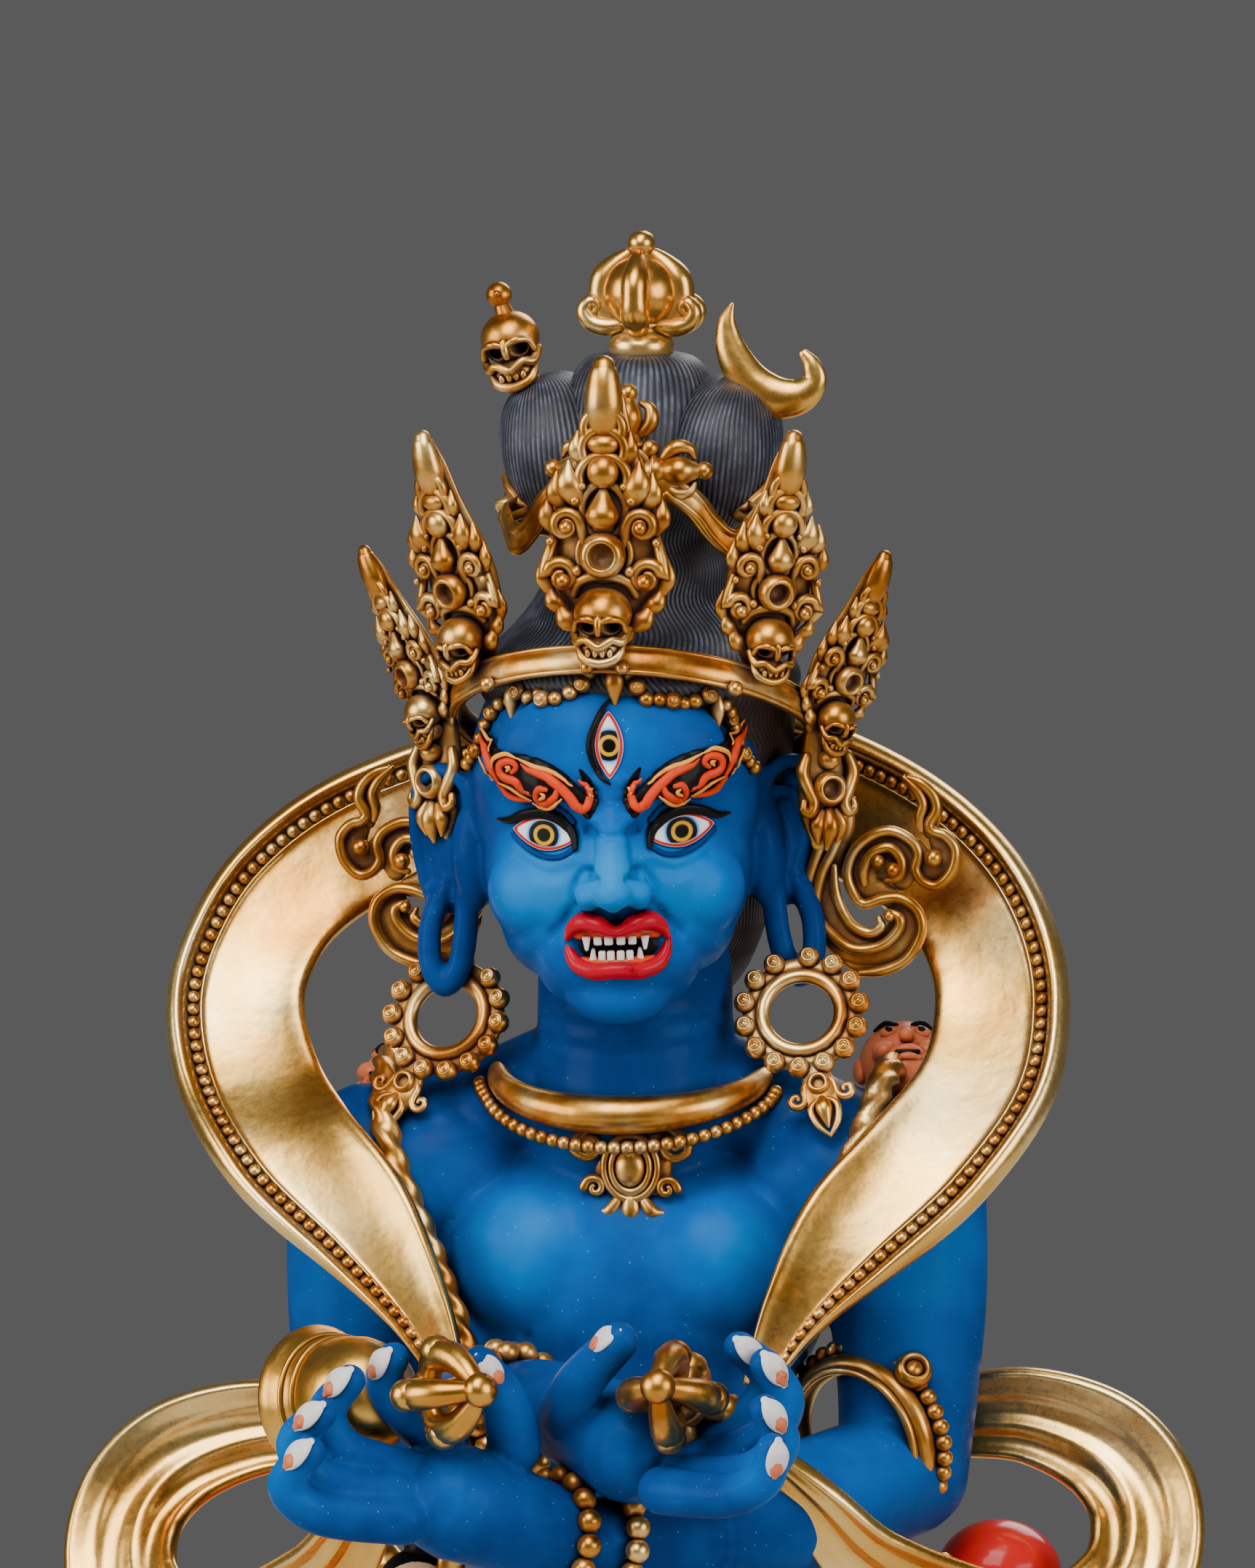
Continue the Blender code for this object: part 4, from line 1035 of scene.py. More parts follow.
@dataclass
class Hands:
    """Both cupped hands with their nails."""

    voxel: float = 0.36
    finger: tuple[float, ...] = (2.9, 2.6, 2.3, 1.9)
    thumb: tuple[float, ...] = (3.2, 2.8, 2.3)
    vajra_wrist: Point = (-4, -34, 209)
    vajra_palm: Point = (8, -46, 206)
    vajra_fingers: tuple[tuple[Point, ...], ...] = (
        ((14, -44, 206), (21, -46, 209), (24, -47, 214), (21, -50, 218)),
        ((15, -48, 204), (23, -50, 207), (26.5, -51, 212), (24.5, -53, 216.5)),
        ((15, -52, 203), (23, -55, 204), (27, -57, 208), (25.5, -59, 212)),
        ((13, -55, 202), (21, -59, 202), (26, -62, 204.5), (27, -63, 208)),
    )
    vajra_thumb: tuple[Point, ...] = ((0, -45, 209), (3, -51, 214), (8, -55, 219))
    bell_wrist: Point = (2, -43, 194)
    bell_palm: Point = (-11, -54, 200)
    bell_fingers: tuple[tuple[Point, ...], ...] = (
        ((-13, -50, 206), (-17, -53, 210), (-19, -55.5, 214), (-17.6, -57.5, 216.8)),
        ((-16, -55, 203), (-23, -57.5, 206), (-25, -59.5, 210.5), (-22, -61, 214.6)),
        ((-17, -58, 201), (-25.5, -60.5, 203), (-28, -62.5, 207.5), (-24.8, -64, 211)),
        ((-16, -60, 198.5), (-25, -63, 199.5), (-28.5, -65.5, 203), (-25.5, -67, 207)),
    )
    bell_thumb: tuple[Point, ...] = ((-5, -50, 206), (-5.5, -53, 211.5), (-8, -56, 216))

    def build(self) -> None:
        """Makes both hands and all nails."""
        vajra = self.hand(((-14, -25, 206, 6.1), (-5, -33, 209, 5.2)), self.vajra_wrist, self.vajra_palm,
                          self.vajra_fingers, self.vajra_thumb)
        finish_piece("vajra_hand", vajra, "blue")
        bell = self.hand(((13, -30, 194, 6.4), (3, -42, 194, 5.3)), self.bell_wrist, self.bell_palm,
                         self.bell_fingers, self.bell_thumb)
        finish_piece("bell_hand", bell, "blue")
        self.nails()

    def hand(self, arm: Sequence[Station], wrist: Point, palm: Point, fingers: Sequence[Sequence[Point]],
             thumb: Sequence[Point]) -> bpy.types.Mesh:
        """One hand: the end of its arm, wrist, palm, four fingers and thumb.

        Args:
            arm: the last stretch of the forearm.
            wrist: the middle of the wrist.
            palm: the middle of the palm.
            fingers: the joints of each finger.
            thumb: the joints of the thumb.

        Returns:
            The skin's mesh.
        """
        shape = Shape()
        shape.limb(arm, sides=24)
        shape.limb([(*wrist, 5.2), (*palm, 6.8)], steps=4, sides=24)
        for finger in fingers:
            shape.limb([(*point, radius) for point, radius in zip(finger, self.finger)], steps=6, sides=16)
        shape.limb([(*point, radius) for point, radius in zip(thumb, self.thumb)], steps=6, sides=16)
        sculpt = Sculpt(shape.skin(self.voxel, 7))
        for one, other in zip(fingers, fingers[1:]):
            between = [tuple((Vector(a) + Vector(b)) / 2 + Vector((0, 0, -2.0))) for a,
                       b in zip(one, other)]
            sculpt.stroke(between[:3], 0.8, 0.5)
        # Painted light: lighter blue on the fingers, palm and thumb where highlights fall.
        spots = [(tuple(Vector(finger[2])), 4.0, 0.4) for finger in fingers]
        sculpt.airbrush_and_painted_light([*spots, (palm, 9, 0.15), (thumb[1], 5, 0.35)], 0.06)
        return sculpt.done()

    def nails(self) -> None:
        """A pale plate with a pink root on the outer side of each finger's end."""
        shape, roots = Shape(), Shape()
        looks = [(finger, Vector((0.55, -0.8, 0.1))) for finger in self.vajra_fingers]
        looks += [(finger, Vector((-0.55, -0.8, 0.1))) for finger in self.bell_fingers]
        looks += [(self.vajra_thumb, Vector((-0.35, -0.75, 0.55))),
                  (self.bell_thumb, Vector((0.1, -0.8, 0.6)))]
        for finger, outward in looks:
            tip, before = Vector(finger[-1]), Vector(finger[-2])
            way = (tip - before).normalized()
            outward = (outward - way * outward.dot(way)).normalized()
            for grown, plate in (
                (shape, ((-2.5, 2.15, 0.5), (-1.9, 2.15, 1.0), (-0.9, 2.05, 1.38), (0.2, 1.9, 1.38),
                         (1.0, 1.55, 1.05), (1.6, 1.15, 0.5))),
                (roots, ((-2.3, 2.4, 0.4), (-1.6, 2.4, 0.85), (-1.0, 2.35, 0.7))),
            ):
                stations = [(*(tip + way * along + outward * up), radius) for along, up, radius in plate]
                grown.limb(stations, steps=3, sides=16, flat=0.34, facing=tuple(outward))
        finish_piece("finger_nails", shape.mesh(), "nails")
        finish_piece("finger_nail_roots", roots.mesh(), "salmon")


@dataclass
class Face:
    """Head and painted face, drawn from the head's middle, then turned a little on the neck."""

    centre: Point = (-1.7, -1, 272)
    yaw: float = 8.0
    roll: float = -1.8
    voxel: float = 0.4
    eye: Point = (7.85, 0, 0.8)
    eye_half_width: float = 3.75
    upper_lid: float = 2.3
    lower_lid: float = 1.9
    eye_slant: float = 9.0
    third_eye_height: float = 11.2
    surface: Surface | None = field(default=None, repr=False)

    def pose(self) -> Matrix:
        """The matrix from the head's own drawing to the figure's."""
        return Matrix.Translation(self.centre) @ turned_by((0, self.roll, self.yaw))

    def build(self) -> None:
        """Makes the head and all that is painted on it."""
        skin = self.head()
        self.surface = Surface(skin)
        self.eyes()
        self.brows()
        self.mouth()
        skin.transform(self.pose())
        finish_piece("head_skin", skin, "blue")

    def place(self, name: str, shape: Shape, finish: str) -> None:
        """Turns a shape with the head and hands it over."""
        finish_piece(name, shape.move(self.pose()).mesh(), finish)

    def head(self) -> bpy.types.Mesh:
        """The head's skin: skull, jaw, cheeks, knitted brow, nose and ears."""
        shape = Shape()
        shape.ball((0, 2, 5), (17.0, 19.2, 20), fineness=5)
        shape.ball((0, -3, -4), (15.4, 15.2, 14.5), fineness=5)
        shape.ball((0, -9.2, -13.4), (9.8, 8.6, 7.6))
        shape.ball((0, -12.8, 10), (13.2, 5, 8))
        shape.limb([(0, -16.6, 5, 1.9), (0, -18.6, 0, 1.95), (0, -20.0, -4.0, 2.3)], sides=20)
        shape.ball((0, -20.9, -5.6), (2.3, 2.5, 2.2))
        shape.ball((0, -17.3, 7.0), (1.9, 1.5, 1.4))
        shape.ball((0, -17.8, 2.8), (2.9, 1.7, 1.2))
        shape.ball((0, -13.6, -12), (7.6, 4.4, 5.4))
        shape.ball((0, -12.8, -17.6), (6.2, 4.4, 3.9))
        for side in SIDES:
            shape.ball((side * 4.9, -4.5, -10), (8.6, 10.6, 7.6))
            shape.ball((side * 8.4, -9.6, -6.0), (6.4, 5.6, 6.2))
            shape.ball((side * 2.95, -18.6, -6.0), (1.75, 2.5, 1.75))
            shape.limb([(side * 2.4, -16.9, 4.0, 1.4), (side * 7.5, -15.4, 7.2, 1.9),
                        (side * 13.2, -10.2, 9.6, 1.5)],
                       sides=16)
            self.ear(shape, side)
        sculpt = Sculpt(shape.skin(self.voxel, 7))
        laid = Surface(sculpt.mesh)
        for side in SIDES:
            sculpt.push((side * self.eye[0], -15.5, self.eye[2]), (4.8, 3.5, 3.4), (0, 0.9, 0))
            self.fold(sculpt, laid, [(side * 1.8, -4.0), (side * 2.6, -3.2), (side * 3.9, -3.6),
                                     (side * 4.7, -5.6), (side * 4.3, -7.2)], 0.75, 0.75)
            self.fold(sculpt, laid, [(side * 4.5, -6.6), (side * 5.4, -8.6), (side * 6.3, -9.9),
                                     (side * 7.3, -10.8)],
                      1.1, 0.6)
            sculpt.push((side * 1.5, -21.2, -8.0), (0.9, 1.6, 0.8), (0, 0.9, 0.9))
            self.fold(sculpt, laid, [(side * 4.4, -2.8), (side * 7.6, -3.6), (side * 11, -2.2)], 1.2, 0.4)
            self.fold(sculpt, laid, [(side * 9.2, -12.4), (side * 10.4, -15.0)], 1.8, 0.25)
        self.fold(sculpt, laid, [(-2.9, 1.5), (0, 0.9), (2.9, 1.5)], 0.7, 0.6)
        self.fold(sculpt, laid, [(-2.5, 5.2), (0, 4.8), (2.5, 5.2)], 0.7, 0.5)
        self.fold(sculpt, laid, [(0, -8.4), (0, -9.0)], 0.9, 0.3)
        self.fold(sculpt, laid, [(-3.6, -16.8), (0, -17.2), (3.6, -16.8)], 1.1, 0.22)
        sculpt.push((0.2, -18.2, -12.0), (5.3, 6, 2.5), (0, 2.6, 0))
        # Painted light: lighter blue on the nose, cheeks, brow and chin where highlights fall, and painted
        # shade on the sides of the face.
        sculpt.airbrush_and_painted_light(
            [((0, -22, -4), 6, 0.65), ((-9, -15, -5), 7, 0.55), ((9, -15, -5), 7, 0.47),
             ((0, -19, 13), 8, 0.3), ((0, -18, -20), 5, 0.2), ((-20, 3, -6), 10, -0.3),
             ((20, 3, -6), 10, -0.3)], 0.14,
        )
        return sculpt.done()

    def fold(self, sculpt: Sculpt, laid: Surface, places: Sequence[tuple[float, float]], radius: float,
             depth: float) -> None:
        """Presses a fold along (x, z) places on the face."""
        sculpt.stroke([tuple(laid.front(x, z)) for x, z in places], radius, depth)

    def ear(self, shape: Shape, side: int) -> None:
        """One long-lobed ear: sunk shell, outer rim, inner ridge and the drawn-out lobe with its hole."""
        shape.ball((side * 19.4, 3.2, -2.0), (3.4, 1.5, 8.2), turn=(0, side * 5, side * 28), fineness=4)
        rim = [(16.6, -0.4, 1.5), (17.4, -0.6, 5.4), (20.2, 0.8, 7.0), (22.9, 3.4, 4.6), (23.3, 4.6, -0.5),
               (22.5, 4.4, -5.5), (21.4, 3.6, -9.0)]
        shape.limb([(side * x, y, z, 0.95) for x, y, z in rim], sides=12)
        ridge = [(18.2, 0.6, 3.6), (20.6, 2.0, 2.6), (21.0, 2.8, -2.0), (19.8, 2.2, -6.0)]
        shape.limb([(side * x, y, z, 0.75) for x, y, z in ridge], sides=10)
        shape.ball((side * 16.6, 0.4, -3.0), (2.6, 3.0, 6.6))
        lobe = [(20.6, 3.0, -7.5), (22.0, 2.2, -11.5), (22.0, 1.2, -15.5), (20.6, 0.8, -17.9),
                (18.9, 0.6, -16.4), (17.9, 0.8, -12.0), (17.6, 1.0, -7.5)]
        shape.limb([(side * x, y, z, 1.4) for x, y, z in lobe], sides=12, flat=1.3)

    def eyes(self) -> None:
        """Both eyes and the upright third eye, with black lids and lashes."""
        eyes, lids, creases = Shape(), Shape(), Shape()
        for side in SIDES:
            self.eyeball(eyes, side)
            outline = self.lid_line(side)
            lids.limb(self.surface.lay(outline, 0.42), steps=2, sides=12, flat=0.55,
                      facing=self.surface.normal)
            fold = [(x, z + 1.45, 0.4) for x, z, _ in outline[1:-2]]
            creases.limb(self.surface.lay(fold, 0.1), steps=2, sides=10, flat=0.8,
                         facing=self.surface.normal)
            under = [(side * (self.eye[0] + x), self.eye[2] + z, 0.34)
                     for x, z in ((-3.7, -1.3), (-2.0, -2.4), (0.0, -2.5), (2.0, -1.6), (3.6, -0.1))]
            creases.limb(self.surface.lay(under, 0.15), steps=2, sides=10, flat=0.8,
                         facing=self.surface.normal)
        z = self.third_eye_height
        left = [(0.2, z + 5.0, 0.15), (-1.0, z + 3.4, 0.35), (-2.15, z, 0.5), (-1.2, z - 3.2, 0.35),
                (0.0, z - 4.3, 0.15)]
        lids.limb(self.surface.lay(left, 0.3), steps=2, sides=10, flat=0.6, facing=self.surface.normal)
        self.place("eyeballs", eyes, "eyes")
        self.place("black_lids", lids, "black")
        self.place("lid_folds", creases, "blue")

    def lid_line(self, side: int) -> list[Station]:
        """The (x, z, radius) stations of one upper lid, from the inner corner to the lash's tip."""
        slant = radians(self.eye_slant)
        line = []
        for across, up, radius in ((-3.95, -1.0, 0.3), (-3.4, 0.7, 0.55), (-1.7, 2.15, 0.68),
                                   (0.5, 2.6, 0.7), (2.5, 1.95, 0.62), (4.0, 0.95, 0.45),
                                   (5.3, 0.75, 0.18)):
            x = across * cos(slant) - up * sin(slant)
            z = across * sin(slant) + up * cos(slant)
            line.append((side * (self.eye[0] + x), self.eye[2] + z, radius))
        return line

    def eyeball(self, shape: Shape, side: int) -> None:
        """One bulging eye: a grid bent to an almond and laid on the face."""
        slant = radians(self.eye_slant)
        self.almond(shape, (side * self.eye[0], self.eye[2]), side * slant, self.eye_half_width,
                    self.upper_lid,
                    self.lower_lid, 0.85)
        if side > 0:
            self.almond(shape, (0.0, self.third_eye_height), pi / 2, 3.9, 1.75, 1.75, 0.5)

    def almond(self, shape: Shape, middle: tuple[float, float], turn: float, half: float, over: float,
               under: float, bulge: float) -> None:
        """An almond-shaped patch with the distances that its paint needs.

        Args:
            shape: what it is added to.
            middle: its (x, z) place.
            turn: its slant.
            half: half its width.
            over: its height above the middle.
            under: its depth below the middle.
            bulge: how far its middle stands out.
        """
        far = shape.bm.verts.layers.float.get("far") or shape.bm.verts.layers.float.new("far")
        rim = shape.bm.verts.layers.float.get("rim") or shape.bm.verts.layers.float.new("rim")
        others = set(shape.bm.verts)
        bmesh.ops.create_grid(shape.bm, x_segments=44, y_segments=30, size=1)
        new = [vertex for vertex in shape.bm.verts if vertex not in others]
        for vertex in new:
            u, v = vertex.co.x, vertex.co.y
            arch = max(0.0, 1 - abs(u) ** 1.9) ** 0.85
            across = half * u
            up = (over if v > 0 else under) * v * arch
            edge = min(arch * (1 - abs(v)) * (over if v > 0 else under), half * (1 - abs(u)) * 0.8)
            vertex[far] = sqrt(across**2 + up**2)
            vertex[rim] = edge
            x = middle[0] + across * cos(turn) - up * sin(turn)
            z = middle[1] + across * sin(turn) + up * cos(turn)
            hit = self.surface.front(x, z, 0.12)
            hit.y -= bulge * min(1, edge / 1.2) ** 0.6 * (1 - 0.4 * (vertex[far] / half) ** 2)
            vertex.co = hit
        boundary = [edge for vertex in new for edge in vertex.link_edges if edge.is_boundary]
        grown = bmesh.ops.extrude_edge_only(shape.bm, edges=list(set(boundary)))["geom"]
        skirt = [item for item in grown if isinstance(item, bmesh.types.BMVert)]
        bmesh.ops.translate(shape.bm, verts=skirt, vec=(0, 1.2, 0))
        loops = [item for item in grown if isinstance(item, bmesh.types.BMEdge) and item.is_boundary]
        bmesh.ops.holes_fill(shape.bm, edges=loops)

    def brows(self) -> None:
        """The black relief of both brows with scrolled flames on it."""
        plates, flames = Shape(), Shape()
        normal = self.surface.normal
        outline = [(2.4, 3.7, 0.8), (4.2, 5.6, 1.1), (6.5, 7.0, 1.75), (9.3, 7.8, 2.35), (11.8, 8.4, 2.2),
                   (13.7, 9.9, 1.3), (15.0, 11.9, 0.3)]
        hook = [(2.6, 3.6, 0.8), (1.9, 5.4, 0.75), (2.7, 7.2, 0.5), (3.4, 8.4, 0.2)]
        lower = [(9.0, 5.4, 0.6), (11.4, 5.6, 0.8), (13.2, 6.8, 0.5), (14.2, 8.4, 0.2)]
        tongues = [
            ([(3.5, 7.4, 0.14), (2.9, 6.2, 0.36), (2.6, 4.6, 0.46), (3.0, 4.1, 0.5), (3.9, 4.6, 0.56),
              (5.0, 5.8, 0.56), (7.0, 7.4, 0.56), (8.8, 8.4, 0.44), (9.9, 9.3, 0.12)], "flames"),
            ([(5.9, 6.3, 0.3), (6.2, 5.6, 0.45), (7.3, 5.2, 0.5), (8.1, 5.8, 0.46), (7.8, 6.6, 0.4),
              (7.1, 6.4, 0.3)],
             "flames"),
            ([(8.6, 6.2, 0.3), (9.6, 6.6, 0.5), (10.5, 7.4, 0.56), (11.9, 8.0, 0.56), (12.1, 9.2, 0.5),
              (11.0, 9.6, 0.46), (10.4, 8.9, 0.36), (10.9, 8.4, 0.28)], "flames"),
            ([(9.0, 5.4, 0.24), (10.4, 5.5, 0.4), (11.4, 5.9, 0.5), (12.2, 6.6, 0.46), (12.7, 7.7, 0.14)],
             "flames"),
            ([(12.2, 7.2, 0.3), (13.2, 8.8, 0.56), (14.0, 10.2, 0.46), (14.7, 11.5, 0.12)], "flames"),
            ([(4.6, 6.3, 0.12), (6.4, 7.8, 0.26), (8.4, 9.0, 0.28), (10.2, 9.9, 0.1)], "flame_tips"),
            ([(5.4, 5.4, 0.1), (6.3, 4.9, 0.24), (7.6, 4.6, 0.24), (8.6, 5.2, 0.1)], "flame_tips"),
            ([(8.7, 5.6, 0.1), (9.8, 6.0, 0.22), (10.9, 6.7, 0.22), (12.1, 7.3, 0.1)], "flame_tips"),
            ([(10.3, 9.9, 0.1), (11.4, 10.3, 0.26), (12.6, 9.8, 0.28), (12.8, 8.8, 0.1)], "flame_tips"),
            ([(7.5, 6.2, 0.14), (7.2, 5.9, 0.26), (7.6, 5.7, 0.16)], "flame_tips"),
            ([(11.4, 9.0, 0.14), (11.1, 8.9, 0.26), (11.3, 8.6, 0.16)], "flame_tips"),
            ([(13.0, 10.4, 0.1), (13.5, 11.2, 0.24), (14.4, 12.4, 0.1)], "flame_tips"),
            ([(12.9, 6.8, 0.1), (13.5, 8.0, 0.24), (14.4, 9.6, 0.1)], "flame_tips"),
            ([(2.4, 6.8, 0.1), (2.2, 5.6, 0.22), (2.3, 4.6, 0.1)], "flame_tips"),
        ]
        tips = Shape()
        for side in SIDES:
            for line in (outline, hook, lower):
                plates.limb(self.surface.lay(mirrored(line, side), 0.0), steps=2, sides=14, flat=0.3,
                            facing=normal)
            for line, finish in tongues:
                thicker = [(x, z, radius * 1.05) for x, z, radius in mirrored(line, side)]
                lift = 0.8 if finish == "flames" else 1.0
                grown = flames if finish == "flames" else tips
                grown.limb(self.surface.lay(thicker, lift), steps=1, sides=8, flat=0.75, facing=normal)
        self.place("brow_flame_tips", tips, "flame_tips")
        self.place("brow_relief", plates, "black")
        self.place("brow_flames", flames, "flames")

    def mouth(self) -> None:
        """Open mouth: red lips, orange gums, two rows of teeth with fangs and a black shape between them as
        painted shade.
        """
        lips, gums, teeth, dark = Shape(), Shape(), Shape(), Shape()
        upper = [(5.75, -10.9, 0.4), (5.0, -9.7, 0.85), (3.7, -8.95, 1.1), (2.1, -9.3, 1.0),
                 (0.9, -9.9, 0.72), (0, -10.1, 0.62)]
        lower = [(5.75, -11.0, 0.4), (5.5, -12.6, 0.7), (4.6, -14.1, 0.95), (2.6, -14.8, 1.0),
                 (0, -14.7, 0.95)]
        for line, out in ((upper, -19.0), (lower, -18.1)):
            across = [*line, *reversed(mirrored(line[:-1]))]
            stations = [(x + 0.2, out + 0.075 * x * x, z, radius) for x, z, radius in across]
            lips.limb(stations, steps=6, sides=16, flat=1.15)
        for z, radius in ((-10.4, 0.8), (-13.9, 0.75)):
            band = [(x + 0.2, -17.5 + 0.06 * x * x, z, radius) for x in (-4.4, -2.2, 0, 2.2, 4.4)]
            gums.limb(band, steps=4, sides=12)
        for x, half in ((-3.3, 0.58), (-2.0, 0.52), (-0.75, 0.54), (0.65, 0.54), (1.95, 0.52), (3.4, 0.58)):
            y = -18.0 + 0.06 * x * x
            fang = half > 0.55
            self.tooth(teeth, (x, y - 0.2 * fang, -10.7), -1, half, 1.7 if fang else 1.05)
            self.tooth(teeth, (x * 0.8 + 0.05, y + 0.1, -13.6), 1, half * 0.9, 1.5 if fang else 1.2)
        # Painted shade: a black ellipsoid behind the teeth stands for the shade inside the open mouth.
        dark.ball((0.2, -15.4, -12.1), (5.2, 1.3, 2.5))
        self.place("lips", lips, "lips")
        self.place("gums", gums, "gums")
        self.place("teeth", teeth, "teeth")
        self.place("mouth_dark", dark, "black")

    def tooth(self, shape: Shape, root: Point, way: int, half: float, length: float) -> None:
        """One tooth: a bevelled block, narrowed to a point where it is a fang."""
        fang = length > 1.2
        others = set(shape.bm.verts)
        bmesh.ops.create_cube(shape.bm, size=1)
        new = [vertex for vertex in shape.bm.verts if vertex not in others]
        for vertex in new:
            taper = 0.3 if fang and vertex.co.z * way > 0 else 0.92
            vertex.co = Vector((vertex.co.x * 2 * half * taper, vertex.co.y * 0.9, vertex.co.z * length))
        bmesh.ops.translate(shape.bm, verts=new, vec=(root[0], root[1], root[2] + way * length / 2))
        edges = list({edge for vertex in new for edge in vertex.link_edges})
        bmesh.ops.bevel(shape.bm, geom=edges, offset=0.22, segments=3, profile=0.5, affect="EDGES",
                        material=-1)


@dataclass
class Hair:
    """Hair cap under the crown and the high topknot, all engraved in strands."""

    strand: float = 0.85
    depth: float = 0.16
    points_a_strand: int = 3
    roll_centre: Point = (8.7, 5, 314.2)
    roll_radii: Point = (7.1, 10.6, 9.6)
    roll_strands: int = 66
    roll_steps: int = 24
    roll_lean: float = 20.0
    roll_swirl: float = 0.35

    def build(self) -> None:
        """Makes the cap, the neck of the topknot, its side rolls and its top."""
        shape = Shape()
        cap = [(249, 3, 3, 11), (251, 8, 7, 10.4), (255, 11.6, 9.6, 9.6), (262, 14.4, 12.5, 9.0),
               (268, 16.2, 13.8, 8.6), (274, 16.8, 14.6, 8.0), (280, 17.2, 15.4, 7.2),
               (285, 17.7, 16.8, 5.4), (287.4, 18.3, 18.4, 3.2), (289.5, 18.7, 19.1, 2.6),
               (292, 17.4, 18.0, 2.8), (294.5, 14.8, 15.2, 3.6), (297, 12.8, 13.0, 4.4),
               (300, 11.2, 11.3, 4.9), (304, 10.6, 10.6, 5.0), (309, 10.9, 10.9, 5.0),
               (314, 11.6, 11.6, 5.0)]
        self.engraved(shape, cap, 0.05)
        top = [(310, 7.0, 9.0, 4.0), (315, 8.2, 11.2, 4.5), (319, 8.6, 10.8, 5.0), (322.4, 8.2, 9.2, 5.0),
               (324.6, 7.2, 7.6, 5.0), (325.8, 5.6, 5.8, 5.0), (326.3, 2.4, 2.4, 5.0)]
        self.engraved(shape, top, 0.0)
        for side in SIDES:
            self.roll(shape, side)
        finish_piece("hair", shape.mesh(), "hair")

    def engraved(self, shape: Shape, sections: Sequence[Station], swirl: float) -> None:
        """An upright form of (z, half x, half y, centre y) sections with strands running up it."""
        sections = spline(sections, 4)
        widest = max(section[1] for section in sections)
        sides = round(2 * pi * widest / self.strand) * self.points_a_strand
        rings = []
        for z, half_x, half_y, y in sections:
            ring = []
            for index, a in enumerate(around(sides)):
                turn = a + swirl * sin(z * 0.9)
                dip = 0 if index % self.points_a_strand else self.depth
                ring.append(Vector(((half_x - dip) * cos(turn), y + (half_y - dip) * sin(turn), z)))
            rings.append(ring)
        shape.sweep(rings, marks=self.marks(sides))

    def marks(self, sides: int) -> list[float]:
        """Which places round a ring lie in a groove, 0, and which on a strand, 1."""
        return [1.0 if place % self.points_a_strand else 0.0 for place in range(sides)]

    def roll(self, shape: Shape, side: int) -> None:
        """One side roll of the topknot, its strands wound from top to bottom round its outer side."""
        centre, radii = Vector(mirrored([self.roll_centre], side)[0]), self.roll_radii
        sides = self.roll_strands * self.points_a_strand
        lean = Matrix.Rotation(radians(side * self.roll_lean), 3, "Y")
        rings = []
        for step in range(1, self.roll_steps):
            share = pi * step / self.roll_steps
            ring = []
            for index, a in enumerate(around(sides)):
                turn = a + side * self.roll_swirl * cos(share)
                dip = 0 if index % self.points_a_strand else self.depth / 7
                wide = sin(share) ** 0.75 * (1 - dip)
                point = Vector((radii[0] * wide * cos(turn), radii[1] * wide * sin(turn),
                                -radii[2] * cos(share)))
                ring.append(centre + lean @ point)
            rings.append(ring)
        shape.sweep(rings, marks=self.marks(sides))


def skull(shape: Shape, centre: Point, size: float, turn: float = 0.0, tilt: float = 0.0) -> None:
    """A skull with hollow eyes, a curled lip over the upper jaw and a toothed lower jaw.

    Args:
        shape: what it is added to.
        centre: the middle of its cranium.
        size: its size; 1 is a skull about 6 mm wide.
        turn: its turn round Z in degrees.
        tilt: its turn round Y in degrees.
    """
    own = Shape()
    own.ball((0, 0.2, 0.5), (3.05, 3.0, 2.8), fineness=5)
    mesh = own.mesh()
    sculpt = Sculpt(mesh)
    for side in SIDES:
        sculpt.push((side * 1.4, -2.7, -0.7), (0.85, 1.3, 0.85), (0, 2.2, 0.15))
    sculpt.push((0, -2.8, -1.8), (0.45, 1.0, 0.5), (0, 1.0, 0))
    sculpt.done()
    rest = Shape()
    lip = [(-2.9, -0.6, -1.1, 0.4), (-2.4, -1.9, -2.2, 0.5), (-1.5, -2.6, -1.95, 0.42),
           (-0.7, -2.8, -2.4, 0.45), (0, -2.9, -2.75, 0.45), (0.7, -2.8, -2.4, 0.45),
           (1.5, -2.6, -1.95, 0.42), (2.4, -1.9, -2.2, 0.5), (2.9, -0.6, -1.1, 0.4)]
    rest.limb(lip, steps=3, sides=8)
    rest.ball((0, -1.3, -2.9), (2.0, 1.3, 1.2), fineness=3)
    jaw = [(-2.3, -1.0, -2.4, 0.4), (-1.9, -1.9, -3.8, 0.5), (0, -2.3, -4.5, 0.55), (1.9, -1.9, -3.8, 0.5),
           (2.3, -1.0, -2.4, 0.4)]
    rest.limb(jaw, steps=3, sides=8)
    for index in range(4):
        rest.ball(((index - 1.5) * 0.78, -2.4, -3.35), (0.33, 0.35, 0.55), fineness=2)
    rest.ball((0, 0.2, -2.8), (1.8, 1.7, 1.5), fineness=3)
    rest.limb([(0, -2.9, 0.3, 0.45), (0, -3.1, -0.6, 0.42), (0, -2.9, -1.3, 0.3)], steps=3, sides=8)
    for side in SIDES:
        rest.limb([(side * 0.3, -3.05, -0.05, 0.28), (side * 1.3, -2.95, 0.3, 0.42),
                   (side * 2.4, -2.1, 0.0, 0.3), (side * 2.7, -1.5, -1.0, 0.35)], steps=3, sides=8)
    place = Matrix.Translation(centre) @ turned_by((0, tilt, turn)) @ Matrix.Scale(size, 4)
    shape.add(mesh, place)
    shape.add(rest.mesh(), place)


